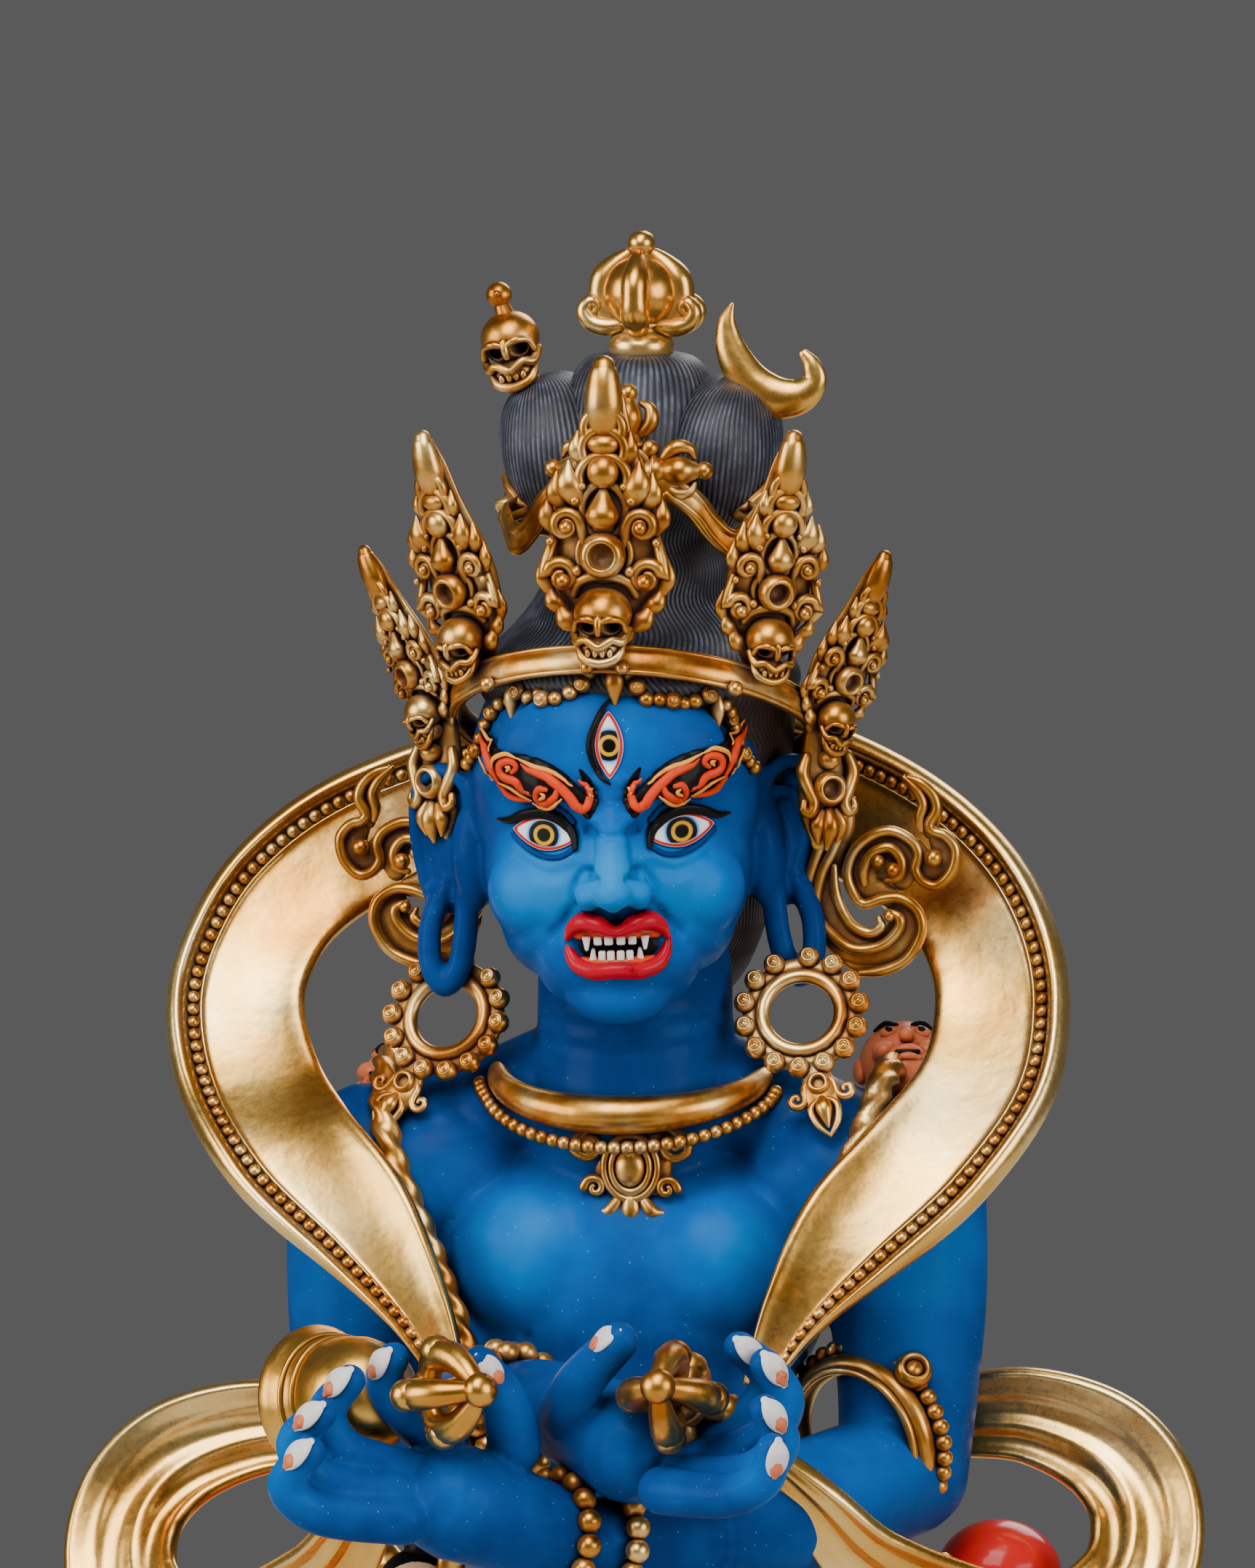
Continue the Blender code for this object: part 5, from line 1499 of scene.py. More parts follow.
@dataclass
class Crown:
    """The tilted band with its five skull leaves, the swags below it and the ribbons at both ears."""

    centre: Point = (0, 1, 284.5)
    radius: float = 20.6
    tilt: float = 24.0
    band_height: float = 1.65
    edge_height: float = 1.45
    facing: float = 0.6
    leaves: tuple[tuple[float, float, float, float, float], ...] = (
        (0, 1.05, 0.03, 0.8, 4.6), (-53, 0.87, 0.25, 0.8, 4.6), (53, 0.87, 0.2, 0.8, 5.0),
        (-82, 0.72, 0.4, 2.6, -0.8), (82, 0.72, 0.34, 2.6, -0.8),
    )

    def on_band(self, turn: float, out: float, up: float) -> Vector:
        """A point by its turn round the tilted band, its reach out of it and its height."""
        reach = self.radius + out
        forwards = reach * cos(radians(turn))
        return Vector((
            reach * sin(radians(turn)), self.centre[1] - forwards * cos(radians(self.tilt)),
            self.centre[2] + forwards * sin(radians(self.tilt)) + up,
        ))

    def build(self) -> None:
        """Makes the band, the leaves, the ribbons and the swags."""
        band = Shape()
        self.band(band)
        finish_piece("crown_band", band.mesh(), "ornament", "crown")
        leaf = self.leaf()
        shape = Shape()
        for turn, size, lean, out, up in self.leaves:
            place = Matrix.Translation(self.on_band(turn, out, up)) @ Matrix.Rotation(radians(turn), 4, "Z")
            back = Matrix.Rotation(radians(turn * (self.facing - 1)), 4, "Z")
            shape.add(leaf, place @ Matrix.Rotation(lean, 4, "X") @ back @ Matrix.Scale(size, 4))
        finish_piece("crown_leaves", shape.mesh(), "ornament")
        ribbons = Shape()
        for side in SIDES:
            self.ribbon(ribbons, side)
            self.drop(ribbons, side)
        finish_piece("crown_ribbons", ribbons.mesh(), "ornament")
        self.swags(drawn_surface("head_skin", "hair", "crown_band"))

    def band(self, shape: Shape) -> None:
        """The flat band with a raised edge above and below."""
        turn = (-self.tilt, 0, 0)
        shape.ring(self.centre, (self.radius, self.radius), 1.0, turn, count=120, sides=16,
                   tall=self.band_height)
        up = Vector((0, 0, 1))
        up.rotate(Matrix.Rotation(radians(-self.tilt), 3, "X"))
        for off in (-self.edge_height, self.edge_height):
            place = Vector(self.centre) + up * off
            shape.ring(tuple(place), (self.radius + 0.55, self.radius + 0.55), 0.32, turn, count=120,
                       sides=8)

    def leaf(self) -> bpy.types.Mesh:
        """One leaf, upright and facing the viewer: X across, -Y out, Z up from the skull."""
        shape = Shape()
        shape.limb([(0, 1.3, -1, 3.2), (0, 1.3, 3, 5.6), (0, 1.3, 9, 6.0), (0, 1.2, 14, 4.9),
                    (0, 1.0, 19, 3.2), (0, 0.8, 24, 2.1), (0, 0.6, 26.6, 1.2)], sides=20, flat=0.28)
        skull(shape, (0, -1.9, 0.2), 1.04)
        shape.limb([(-3.4, -0.2, 2.6, 0.5), (-2.6, -0.9, 4.2, 0.6), (0, -1.3, 4.9, 0.65),
                    (2.6, -0.9, 4.2, 0.6), (3.4, -0.2, 2.6, 0.5)], steps=4, sides=10)
        shape.cup((0, -0.9, 7.1), 2.45, hole=0.58)
        shape.ring((0, -0.6, 7.1), (2.9, 2.9), 0.42, (90, 0, 0), count=36, sides=8)
        shape.ring((0, -0.6, 12.0), (2.4, 2.9), 0.5, (90, 0, 0), count=40, sides=8)
        shape.limb([(0, -1.3, 10.3, 1.2), (0, -1.8, 11.5, 1.85), (0, -1.4, 13.3, 0.95),
                    (0, -0.9, 14.6, 0.25)],
                   sides=16, flat=0.75)
        self.steps(shape)
        for side in SIDES:
            self.leaf_side(shape, side)
        return shape.mesh()

    def steps(self, shape: Shape) -> None:
        """The stacked arches and the rounded cap above the drop."""
        for z, wide, thick in ((15.4, 2.7, 0.6), (18.6, 2.4, 0.62), (20.9, 2.15, 0.6)):
            arch = [(wide * cos(a), -0.9, z + wide * 0.95 * sin(a), thick) for a in np.linspace(-0.35,
                    pi + 0.35, 9)]
            shape.limb(arch, steps=3, sides=8)
        shape.ball((0, -1.2, 16.2), (1.75, 1.3, 1.8), fineness=4)
        shape.ball((0, -0.9, 19.2), (1.8, 1.1, 1.2), fineness=4)
        shape.limb([(0, -0.5, 21.8, 1.9), (0, -0.5, 23.4, 2.15), (0, -0.5, 25.4, 1.95),
                    (0, -0.4, 27.0, 1.6), (0, -0.3, 27.6, 1.3)], sides=14, flat=0.85)

    def leaf_side(self, shape: Shape, side: int) -> None:
        """The volutes and petals on one side of a leaf."""
        hand = -side
        shape.scroll((side * 4.2, -1.1, 10.2), 1.75, 1.35, 0.68, hand, turn=90 + 90 * side,
                     tail=[(side * 2.0, -0.6, 8.0, 0.55), (side * 2.3, -0.8, 9.2, 0.65)])
        shape.scroll((side * 4.7, -0.9, 4.6), 1.9, 1.25, 0.75, -hand, turn=90 - 90 * side,
                     tail=[(side * 5.7, 0.1, 8.6, 0.55), (side * 6.3, -0.4, 6.6, 0.7)])
        shape.ball((side * 4.5, -1.5, 4.2), 0.85, fineness=3)
        shape.ball((side * 4.1, -1.5, 10.1), 0.75, fineness=3)
        for stations, wide in (
            (((2.7, -0.5, 12.6), (3.8, -1.1, 14.7), (3.9, -0.7, 17.2)), 1.45),
            (((4.6, -0.2, 12.2), (5.4, -0.6, 13.8), (5.3, -0.2, 15.9)), 1.1),
            (((5.6, 0.0, 9.6), (6.4, -0.4, 11.2), (6.2, 0.0, 13.2)), 1.0),
            (((2.8, -0.2, -0.8), (4.3, -0.6, -0.1), (5.0, -0.2, 1.6)), 1.15),
            (((4.4, 0.0, 0.9), (5.7, -0.3, 1.8), (6.1, 0.1, 3.4)), 1.0),
            (((2.2, -0.3, 17.0), (3.0, -0.8, 18.6), (2.9, -0.4, 20.4)), 0.95),
            (((6.0, 0.2, 2.6), (6.9, 0.0, 4.4), (6.8, 0.1, 6.4)), 0.9),
        ):
            start, middle, end = stations
            shape.limb([(side * start[0], *start[1:], wide * 0.6), (side * middle[0], *middle[1:], wide),
                        (side * end[0], *end[1:], 0.25)], sides=12, flat=0.65)
        for x, z, radius in ((2.9, 5.3, 0.6), (3.1, 13.0, 0.55), (2.3, 14.6, 0.45), (5.9, 8.5, 0.5)):
            shape.ball((side * x, -1.3, z), radius, fineness=3)

    def ribbon(self, shape: Shape, side: int) -> None:
        """The scrolled ribbon behind one ear: thin ground, raised ridges that curl, and bosses."""
        inward = 0.0 if side > 0 else 1.4

        def put(points: Sequence[tuple[float, float]], thick: float, y: float, steps: int = 4,
                flat: float = 1.0) -> None:
            """Lays one ridge through (x, z) points."""
            ends = len(points) - 1
            stations = [(side * (x - inward), y, z, thick * (0.6 if index in (0, ends) else 1))
                        for index, (x, z) in enumerate(points)]
            shape.limb(stations, steps=steps, sides=10, flat=flat)

        for points, wide in (
            (((23.0, 278), (22.6, 272), (21.0, 267), (20.6, 262.5)), 2.1),
            (((21.4, 263), (22.4, 259.6), (25.0, 257.4), (28.6, 257.6), (30.6, 260.2), (30.2, 262.4)), 2.0),
            (((28.6, 263.8), (26.0, 264.8), (25.6, 267.6), (28.0, 269.6), (30.8, 268.4), (30.2, 265.6)),
             2.0),
            (((31.6, 269.4), (33.2, 266.8), (35.4, 268.2), (34.4, 270.4)), 1.9),
            (((33.4, 271.2), (33.6, 274.4), (31.6, 277.0)), 1.3),
            (((22.4, 257.6), (25.4, 256.0), (29.0, 256.6), (32.0, 260.0)), 1.3),
        ):
            put(points, wide, 6.2, flat=0.3)
        for points in (
            ((22.5, 276.4), (21.9, 272.5), (19.8, 266.6), (19.2, 263.0)),
            ((24.1, 276.6), (23.3, 271.8), (22.3, 269.0), (20.9, 266.1), (20.3, 261.9), (22.2, 259.4),
             (24.7, 257.7), (27.9, 258.1), (29.9, 259.9), (30.1, 261.4), (28.8, 262.1)),
            ((22.5, 267.2), (22.7, 263.9), (24.2, 260.8), (26.4, 259.6), (27.9, 260.3), (27.7, 261.3)),
            ((25.4, 254.9), (28.0, 255.2), (30.9, 256.6), (32.6, 259.6), (32.3, 262.1), (30.4, 263.6),
             (28.2, 263.6), (25.8, 262.9), (24.4, 264.7), (24.0, 266.8), (24.9, 269.2), (27.1, 271.0),
             (29.3, 271.4), (31.5, 270.3), (32.3, 268.7), (31.9, 267.0), (32.8, 265.6), (34.5, 265.2),
             (36.2, 267.0), (36.6, 269.4), (35.4, 271.0), (34.1, 271.4), (33.5, 272.3), (34.4, 273.9),
             (34.0, 275.6), (32.6, 277.0), (31.0, 277.6)),
            ((32.6, 271.6), (32.4, 273.0), (32.8, 274.6), (32.0, 276.2), (30.6, 277.6)),
            ((26.0, 265.2), (25.9, 267.0), (27.0, 268.9), (29.0, 269.5), (30.3, 268.0), (30.0, 266.2),
             (28.6, 265.7)),
        ):
            put(points, 0.62, 5.0)
        for x, z, radius in ((29.3, 266.9, 0.95), (34.1, 268.4, 1.05), (27.6, 267.9, 0.8),
                             (28.9, 261.6, 0.7)):
            shape.ball((side * (x - inward), 4.7, z), radius, fineness=3)

    def drop(self, shape: Shape, side: int) -> None:
        """The ornament that hangs below one outer leaf."""
        top = self.on_band(82 * side, 2.4, -4.6)
        way = Vector((side * 0.55, -0.83, 0)).normalized()
        across = Vector((side * 0.83, 0.55, 0))

        def spot(off: float, out: float, up: float) -> Point:
            """A point on the drop by its place across, outward and up."""
            return tuple(top + across * off + way * out + Vector((0, 0, up)))

        shape.limb([(*spot(0, -1.2, 1.5), 2.4), (*spot(0, -1.2, -3.0), 3.1), (*spot(-0.3, -1.2, -7.5), 2.6),
                    (*spot(-0.6, -1.0, -10.5), 1.0)], sides=14, flat=0.5, facing=tuple(way))
        shape.cup(spot(0, 0.2, -4.2), 1.95, tuple(way), hole=0.6)
        shape.ball(spot(0, 0.7, -0.9), (1.3, 1.1, 1.2), fineness=3)
        for hand in (-1, 1):
            curl = [(2.6, 0, -0.5, 0.6), (3.2, 0.3, -2.4, 0.8), (2.6, 0.5, -4.2, 0.8),
                    (1.9, 0.7, -5.8, 0.7), (2.4, 0.8, -7.0, 0.65), (3.2, 0.6, -6.6, 0.55),
                    (3.1, 0.5, -5.7, 0.45)]
            shape.limb([(*spot(hand * x, y, z), radius) for x, y, z, radius in curl], steps=4, sides=10)
            leaf = [(0.9, 0.3, -7.0, 0.6), (1.5, 0.5, -8.6, 0.9), (1.2, 0.2, -10.4, 0.25)]
            shape.limb([(*spot(hand * x, y, z), radius) for x, y, z, radius in leaf], steps=4, sides=10,
                       flat=0.7)
        shape.limb([(*spot(0, 0.5, -6.9), 0.6), (*spot(0, 0.9, -8.8), 1.05),
                    (*spot(-0.2, 0.4, -11.2), 0.25)],
                   steps=4, sides=12, flat=0.7)

    def swags(self, head: Surface) -> None:
        """Bead swags with bezels that hang from the leaves onto the forehead and down the temples."""
        shape = Shape()
        swag = [(2.3, -22, 292.2), (3.5, -20, 290.2), (5.2, -20, 288.6), (7.5, -19, 287.8),
                (9.9, -18, 288.0), (12.0, -16, 288.5), (13.8, -14, 289.6)]
        temple = [(14.2, -12, 287.6), (15.6, -10, 285.6), (16.2, -9, 283.4), (17.0, -8, 281.0),
                  (18.6, -6, 279.4)]
        for side in SIDES:
            self.string(shape, head, mirrored(swag, side), 0.92)
            self.string(shape, head, mirrored(temple, side), 0.86)
            leaf = head.towards((0, 2, 287.2), Vector((side * 14.0, -16, 0)), 0.7)
            shape.limb([(*(leaf + Vector((0, 0, 1.6))), 0.6), (*leaf, 1.0),
                        (*(leaf - Vector((0, 0, 2.2))), 0.25)],
                       steps=4, sides=10, flat=0.6)
        hang = head.front(0.4, 289.6, 0.9)
        shape.limb([(*(hang + Vector((0, -0.2, 2.0))), 0.6), (*(hang + Vector((0, -0.3, 0.2))), 1.1),
                    (*(hang - Vector((0, 0, 2.2))), 0.25)], steps=4, sides=12, flat=0.7)
        finish_piece("crown_swags", shape.mesh(), "ornament")

    def string(self, shape: Shape, head: Surface, places: Sequence[Point], radius: float) -> None:
        """One swag of beads, every third one a bezel, on the outermost of what lies beneath."""
        for index, spot in enumerate(walk(places, radius * 1.95)):
            way = Vector((spot.x, spot.y - 2, 0))
            bezel = index % 3 == 2
            middle = tuple(head.towards((0, 2, spot.z), way, radius * (0.5 if bezel else 0.6)))
            if bezel:
                shape.gem(middle, radius * 1.12, tuple(way + Vector((0, -8, 0))))
            else:
                shape.ball(middle, radius * (0.98 if index % 2 else 0.88), fineness=3)


@dataclass
class TopknotPieces:
    """Half vajra, skull, moon and the crossed vajra with its strap, all on the topknot."""

    finial_base: Point = (0, 5, 326.8)
    front_centre: Point = (1.0, -9.0, 314.0)
    skull_centre: Point = (-14.8, 2.6, 327.2)
    skull_size: float = 1.12

    def build(self) -> None:
        """Makes the four ornaments."""
        self.finial()
        self.side_skull()
        self.moon()
        self.front_ornament()

    def finial(self) -> None:
        """The half vajra: collar, round core with four thick prongs, curled volutes and a top bead."""
        shape = Shape()
        x, y, z = self.finial_base
        collar = [(0, -1.4), (3.0, -1.4), (3.7, -0.6), (3.8, 0.5), (3.3, 1.4), (2.6, 1.7), (2.4, 2.3),
                  (3.2, 2.8), (0, 3.0)]
        shape.turned(collar, (x, y, z), (0, 0, 1), 48)
        shape.ball((x, y, z + 6.3), (4.5, 4.5, 4.3), fineness=5)
        shape.turned([(0, 9.6), (1.7, 9.8), (1.75, 10.3), (1.1, 10.7), (1.1, 10.9), (1.55, 11.4),
                      (1.6, 12.1), (1.3, 12.9), (0.6, 13.3), (0, 13.35)], (x, y, z), (0, 0, 1), 32)
        own = Shape()
        own.limb([(2.6, 0, 2.6, 1.4), (4.2, 0, 4.0, 1.8), (4.6, 0, 6.2, 1.6), (4.2, 0, 8.0, 1.6),
                  (2.8, 0, 9.6, 1.2), (1.6, 0, 10.6, 0.8)], sides=14)
        own.ball((4.9, 0, 4.6), (1.2, 1.6, 1.5), fineness=3)
        own.ball((4.7, 0, 7.4), (1.1, 1.45, 1.3), fineness=3)
        prong = own.mesh()
        for turn in (0, 90, 180, 270):
            shape.add(prong, Matrix.Translation((x, y, z)) @ Matrix.Rotation(radians(turn), 4, "Z"))
        for side in SIDES:
            for depth in (-1, 1):
                curl = [(2.4, 1.4, 2.6, 0.9), (4.0, 1.5, 2.4, 1.15), (5.6, 1.5, 2.9, 1.1),
                        (6.4, 1.5, 4.2, 0.95), (5.7, 1.5, 5.3, 0.8), (4.9, 1.5, 4.8, 0.65),
                        (5.2, 1.5, 4.1, 0.45)]
                shape.limb([(x + side * a, y + depth * b, z + c, r) for a, b, c, r in curl], steps=4,
                           sides=12)
        finish_piece("topknot_half_vajra", shape.mesh(), "scarf", "topknot_finial")

    def side_skull(self) -> None:
        """The skull with a bead on its crown, leaning out on the viewer's left."""
        shape = Shape()
        skull(shape, self.skull_centre, self.skull_size, turn=-4, tilt=-14)
        shape.limb([(-14.0, 3.4, 324, 1.6), (-12.4, 4.2, 321.6, 1.5), (-11.2, 4.8, 319.6, 1.4)], sides=12)
        shape.limb([(-15.4, 2.8, 330.2, 1.2), (-15.9, 2.8, 331.6, 0.9)], sides=12)
        shape.ball((-16.2, 2.8, 332.7), 1.5, fineness=4)
        shape.ball((-16.2, 1.5, 332.9), 0.45, fineness=3)
        finish_piece("topknot_side_skull", shape.mesh(), "ornament", "topknot_skull")

    def moon(self) -> None:
        """The crescent moon on the viewer's right."""
        shape = Shape()
        arc = [(10.9, 3, 332.0, 0.25), (10.3, 3, 329.6, 1.15), (11.0, 3, 326.4, 1.9),
               (13.0, 3, 323.2, 2.35), (15.9, 3, 321.4, 2.45), (18.8, 3, 321.6, 2.05),
               (20.5, 3, 323.3, 1.45), (20.2, 3, 325.2, 1.05), (19.3, 3, 326.4, 0.6)]
        shape.limb(arc, steps=8, sides=24, flat=0.62)
        shape.limb([(15.4, 3.4, 320.6, 1.4), (13.6, 4.2, 319.0, 1.5), (11.6, 5, 318.4, 1.5)], sides=12)
        finish_piece("topknot_moon", shape.mesh(), "scarf", "topknot_crescent")

    def front_ornament(self) -> None:
        """The crossed vajra of petals and bosses, held by a folded strap."""
        shape = Shape()
        x, y, z = self.front_centre
        shape.ball((x, y - 0.4, z), (2.3, 1.9, 2.3))
        shape.ring((x, y - 0.5, z), (2.5, 2.5), 0.45, (90, 0, 0), count=32, sides=8)
        own = Shape()
        own.limb([(1.6, 0, 0, 1.0), (3.2, -0.4, 0, 1.5), (4.4, -0.3, 0, 1.1)], sides=12)
        own.ring((3.0, -0.3, 0), (1.5, 1.3), 0.35, (0, 90, 0), count=24, sides=8)
        own.limb([(4.2, -0.2, 0, 1.2), (6.0, -0.6, 0, 1.7), (7.6, -0.2, 0, 1.1), (8.6, 0, 0, 0.5)],
                 sides=14)
        for side in SIDES:
            own.limb([(4.0, 0, side * 1.1, 0.7), (5.4, -0.2, side * 2.6, 0.9), (7.0, 0, side * 2.5, 0.7),
                      (7.6, 0.1, side * 1.5, 0.35)], sides=10)
        own.ball((8.8, 0, 0), 1.05, fineness=3)
        arm = own.mesh()
        for turn in (0, 90, 180, 270):
            shape.add(arm, Matrix.Translation((x, y, z)) @ Matrix.Rotation(radians(-turn), 4, "Y"))
        for turn in (45, 135, 225, 315):
            spot = (x + 3.4 * cos(radians(turn)), y - 0.1, z + 3.4 * sin(radians(turn)))
            shape.ball(spot, (1.1, 0.9, 1.1), fineness=3)
        hair = drawn_surface("hair")
        strap = [(5.5, -9.6, 312.4), (8.6, -8.6, 310.0), (10.6, -7.0, 307.0), (12.8, -5.4, 305.2),
                 (14.6, -1.6, 307.8), (16.4, 3, 310.6), (16.2, 9, 307.6), (12.0, 14.6, 305.4),
                 (0, 17.4, 305.4)]
        for side in SIDES:
            for drop, radius, flat in ((0, 1.6, 0.3), (-1.15, 0.6, 1), (0, 0.4, 1), (1.15, 0.6, 1)):
                laid = []
                for spot in walk(mirrored(strap, side), 1.4):
                    spot = spot + Vector((0, 0, drop))
                    hit = hair.towards((0, 5, spot.z), Vector((spot.x, spot.y - 5, 0)), 0.3)
                    laid.append((*(hit if (hit - spot).length < 2.6 else spot), radius))
                shape.limb(laid, steps=2, sides=12, flat=flat,
                           facing=lambda point: Vector((point.x, point.y - 5, 0)).normalized())
        finish_piece("crossed_vajra_and_strap", shape.mesh(), "ornament", "topknot_ornament")


@dataclass
class Scarves:
    """The scarf that rises behind the head and the loops beside the elbows."""

    halo_half: float = 8.0
    loop_half: float = 6.5
    thickness: float = 2.4
    halo_middle: Point = (0, 6, 243)
    loop_middle: Point = (42, 0, 192)
    bead: float = 0.8
    left_shift: Point = (-1.2, 0, -3.2)
    steps: int = 14
    halo_right: tuple[Station, ...] = (
        (17.5, -19, 209.5, 0.2), (21.8, -18, 218.4, 0.48), (28, -15.0, 227.0, 0.83),
        (35.6, -9.6, 234.8, 0.98), (41.2, -3, 242.8, 1), (42.3, 2.5, 250.4, 0.98), (40.8, 6.5, 257.4, 0.95),
        (36.2, 11, 264, 0.95), (28.4, 15.5, 269.6, 0.97), (18, 20.5, 273.6, 1), (8, 24, 275.6, 1),
    )
    halo_left: tuple[Station, ...] = (
        (-17.5, -19, 209.5, 0.2), (-21.8, -18, 218, 0.48), (-29, -15, 227.2, 0.83), (-38, -10, 235, 0.98),
        (-44, -3, 241.8, 1), (-46.8, 2.5, 249.4, 0.98), (-46, 6.5, 255.8, 0.95), (-42.4, 11, 262.2, 0.95),
        (-35, 15.5, 267.9, 0.97), (-23, 20.5, 272.4, 1), (-10, 24, 275.4, 1),
    )
    loop: tuple[Station, ...] = (
        (34, 11, 203, 0.7), (44.5, 10, 203.5, 0.85), (54, 8, 200, 0.98), (58.8, 5, 193.5, 1),
        (58, 0, 185.5, 1), (50, -7, 180, 0.98), (40, -14, 183.5, 0.92), (31, -21, 190.5, 0.77),
        (25.5, -26, 198, 0.55), (19, -28.5, 204.5, 0.23),
    )
    halo_section: tuple[tuple[float, float], ...] = (
        (-1.0, -0.2), (-1.0, 0.35), (-0.94, 0.75), (-0.84, 0.85), (-0.6, 0.62), (-0.3, 0.5), (0.0, 0.5),
        (0.3, 0.55), (0.46, 0.62), (0.52, 0.85), (0.55, 0.62), (0.58, 0.35), (0.7, 0.3), (0.73, 0.7),
        (0.77, 1.45), (0.86, 1.95), (0.96, 1.7), (1.03, 0.9), (1.04, -0.2), (0.98, -0.75), (0.6, -0.7),
        (0.0, -0.7), (-0.6, -0.65), (-0.94, -0.5),
    )
    loop_section: tuple[tuple[float, float], ...] = (
        (-1.0, -0.2), (-1.0, 0.5), (-0.92, 0.95), (-0.8, 0.95), (-0.68, 0.5), (-0.5, 0.35), (-0.34, 0.75),
        (-0.2, 0.9), (-0.06, 0.6), (0.08, 0.4), (0.3, 0.55), (0.46, 0.95), (0.6, 1.1), (0.76, 1.35),
        (0.9, 1.5), (1.0, 1.1), (1.03, 0.4), (1.0, -0.4), (0.9, -0.8), (0.4, -0.7), (0.0, -0.6),
        (-0.5, -0.7), (-0.9, -0.6),
    )

    def build(self) -> None:
        """Makes the halo with its beads and both loops."""
        halo = [(*station[:3], station[3] * self.halo_half) for station in (*self.halo_right,
                *self.halo_left[::-1])]
        middle = Vector(self.halo_middle)
        finish_piece("scarf_halo_ribbon", self.band(halo, middle, self.halo_section), "scarf", "scarf_halo")
        beads = Shape()
        row = []
        for point, across, out, half in self.frames(halo, middle):
            row.append(point + across * half * 0.645 + out * self.thickness * 0.34)
        for spot in walk([tuple(spot) for spot in row[::4]], 2 * self.bead):
            beads.ball(tuple(spot), self.bead, fineness=2)
        finish_piece("scarf_halo_beads", beads.mesh(), "ornament")
        for name, side in (("right", 1), ("left", -1)):
            shift = Vector((0, 0, 0)) if side > 0 else Vector(self.left_shift)
            stations = [(*(Vector((side * x, y, z)) + shift), half * self.loop_half) for x, y, z,
                        half in self.loop]
            middle = Vector(mirrored([self.loop_middle], side)[0])
            mesh = self.band(stations, middle + shift, self.loop_section)
            finish_piece(f"elbow_scarf_{name}", mesh, "scarf", f"scarf_loop_{name}")

    def frames(self, stations: Sequence[Station], middle: Vector) -> list[tuple[Vector, Vector, Vector,
            float]]:
        """Point, direction across, direction out and half width along a scarf."""
        path = spline(stations, self.steps)
        points = [Vector(station[:3]) for station in path]
        made = []
        for point, along, station in zip(points, directions(points), path):
            outward = Vector((point.x - middle.x, 0, point.z - middle.z))
            across = (outward - along * outward.dot(along)).normalized()
            face = across.cross(along)
            made.append((point, across, face if face.y < 0 else -face, station[3]))
        return made

    def band(self, stations: Sequence[Station], middle: Vector,
             section: Sequence[tuple[float, float]]) -> bpy.types.Mesh:
        """A scarf swept through its stations with a fine section.

        Args:
            stations: (x, y, z, half width) along it.
            middle: the point that its rim turns away from.
            section: (share of the half width, share of the half thickness) round it.

        Returns:
            The mesh.
        """
        rings = []
        fine = [point for point in spline([*section, section[0]], 3)][:-1]
        for point, across, out, half in self.frames(stations, middle):
            thick = self.thickness / 2
            rings.append([point + across * wide * half + out * deep * thick for wide, deep in fine])
        shape = Shape()
        shape.sweep(rings)
        return shape.mesh()


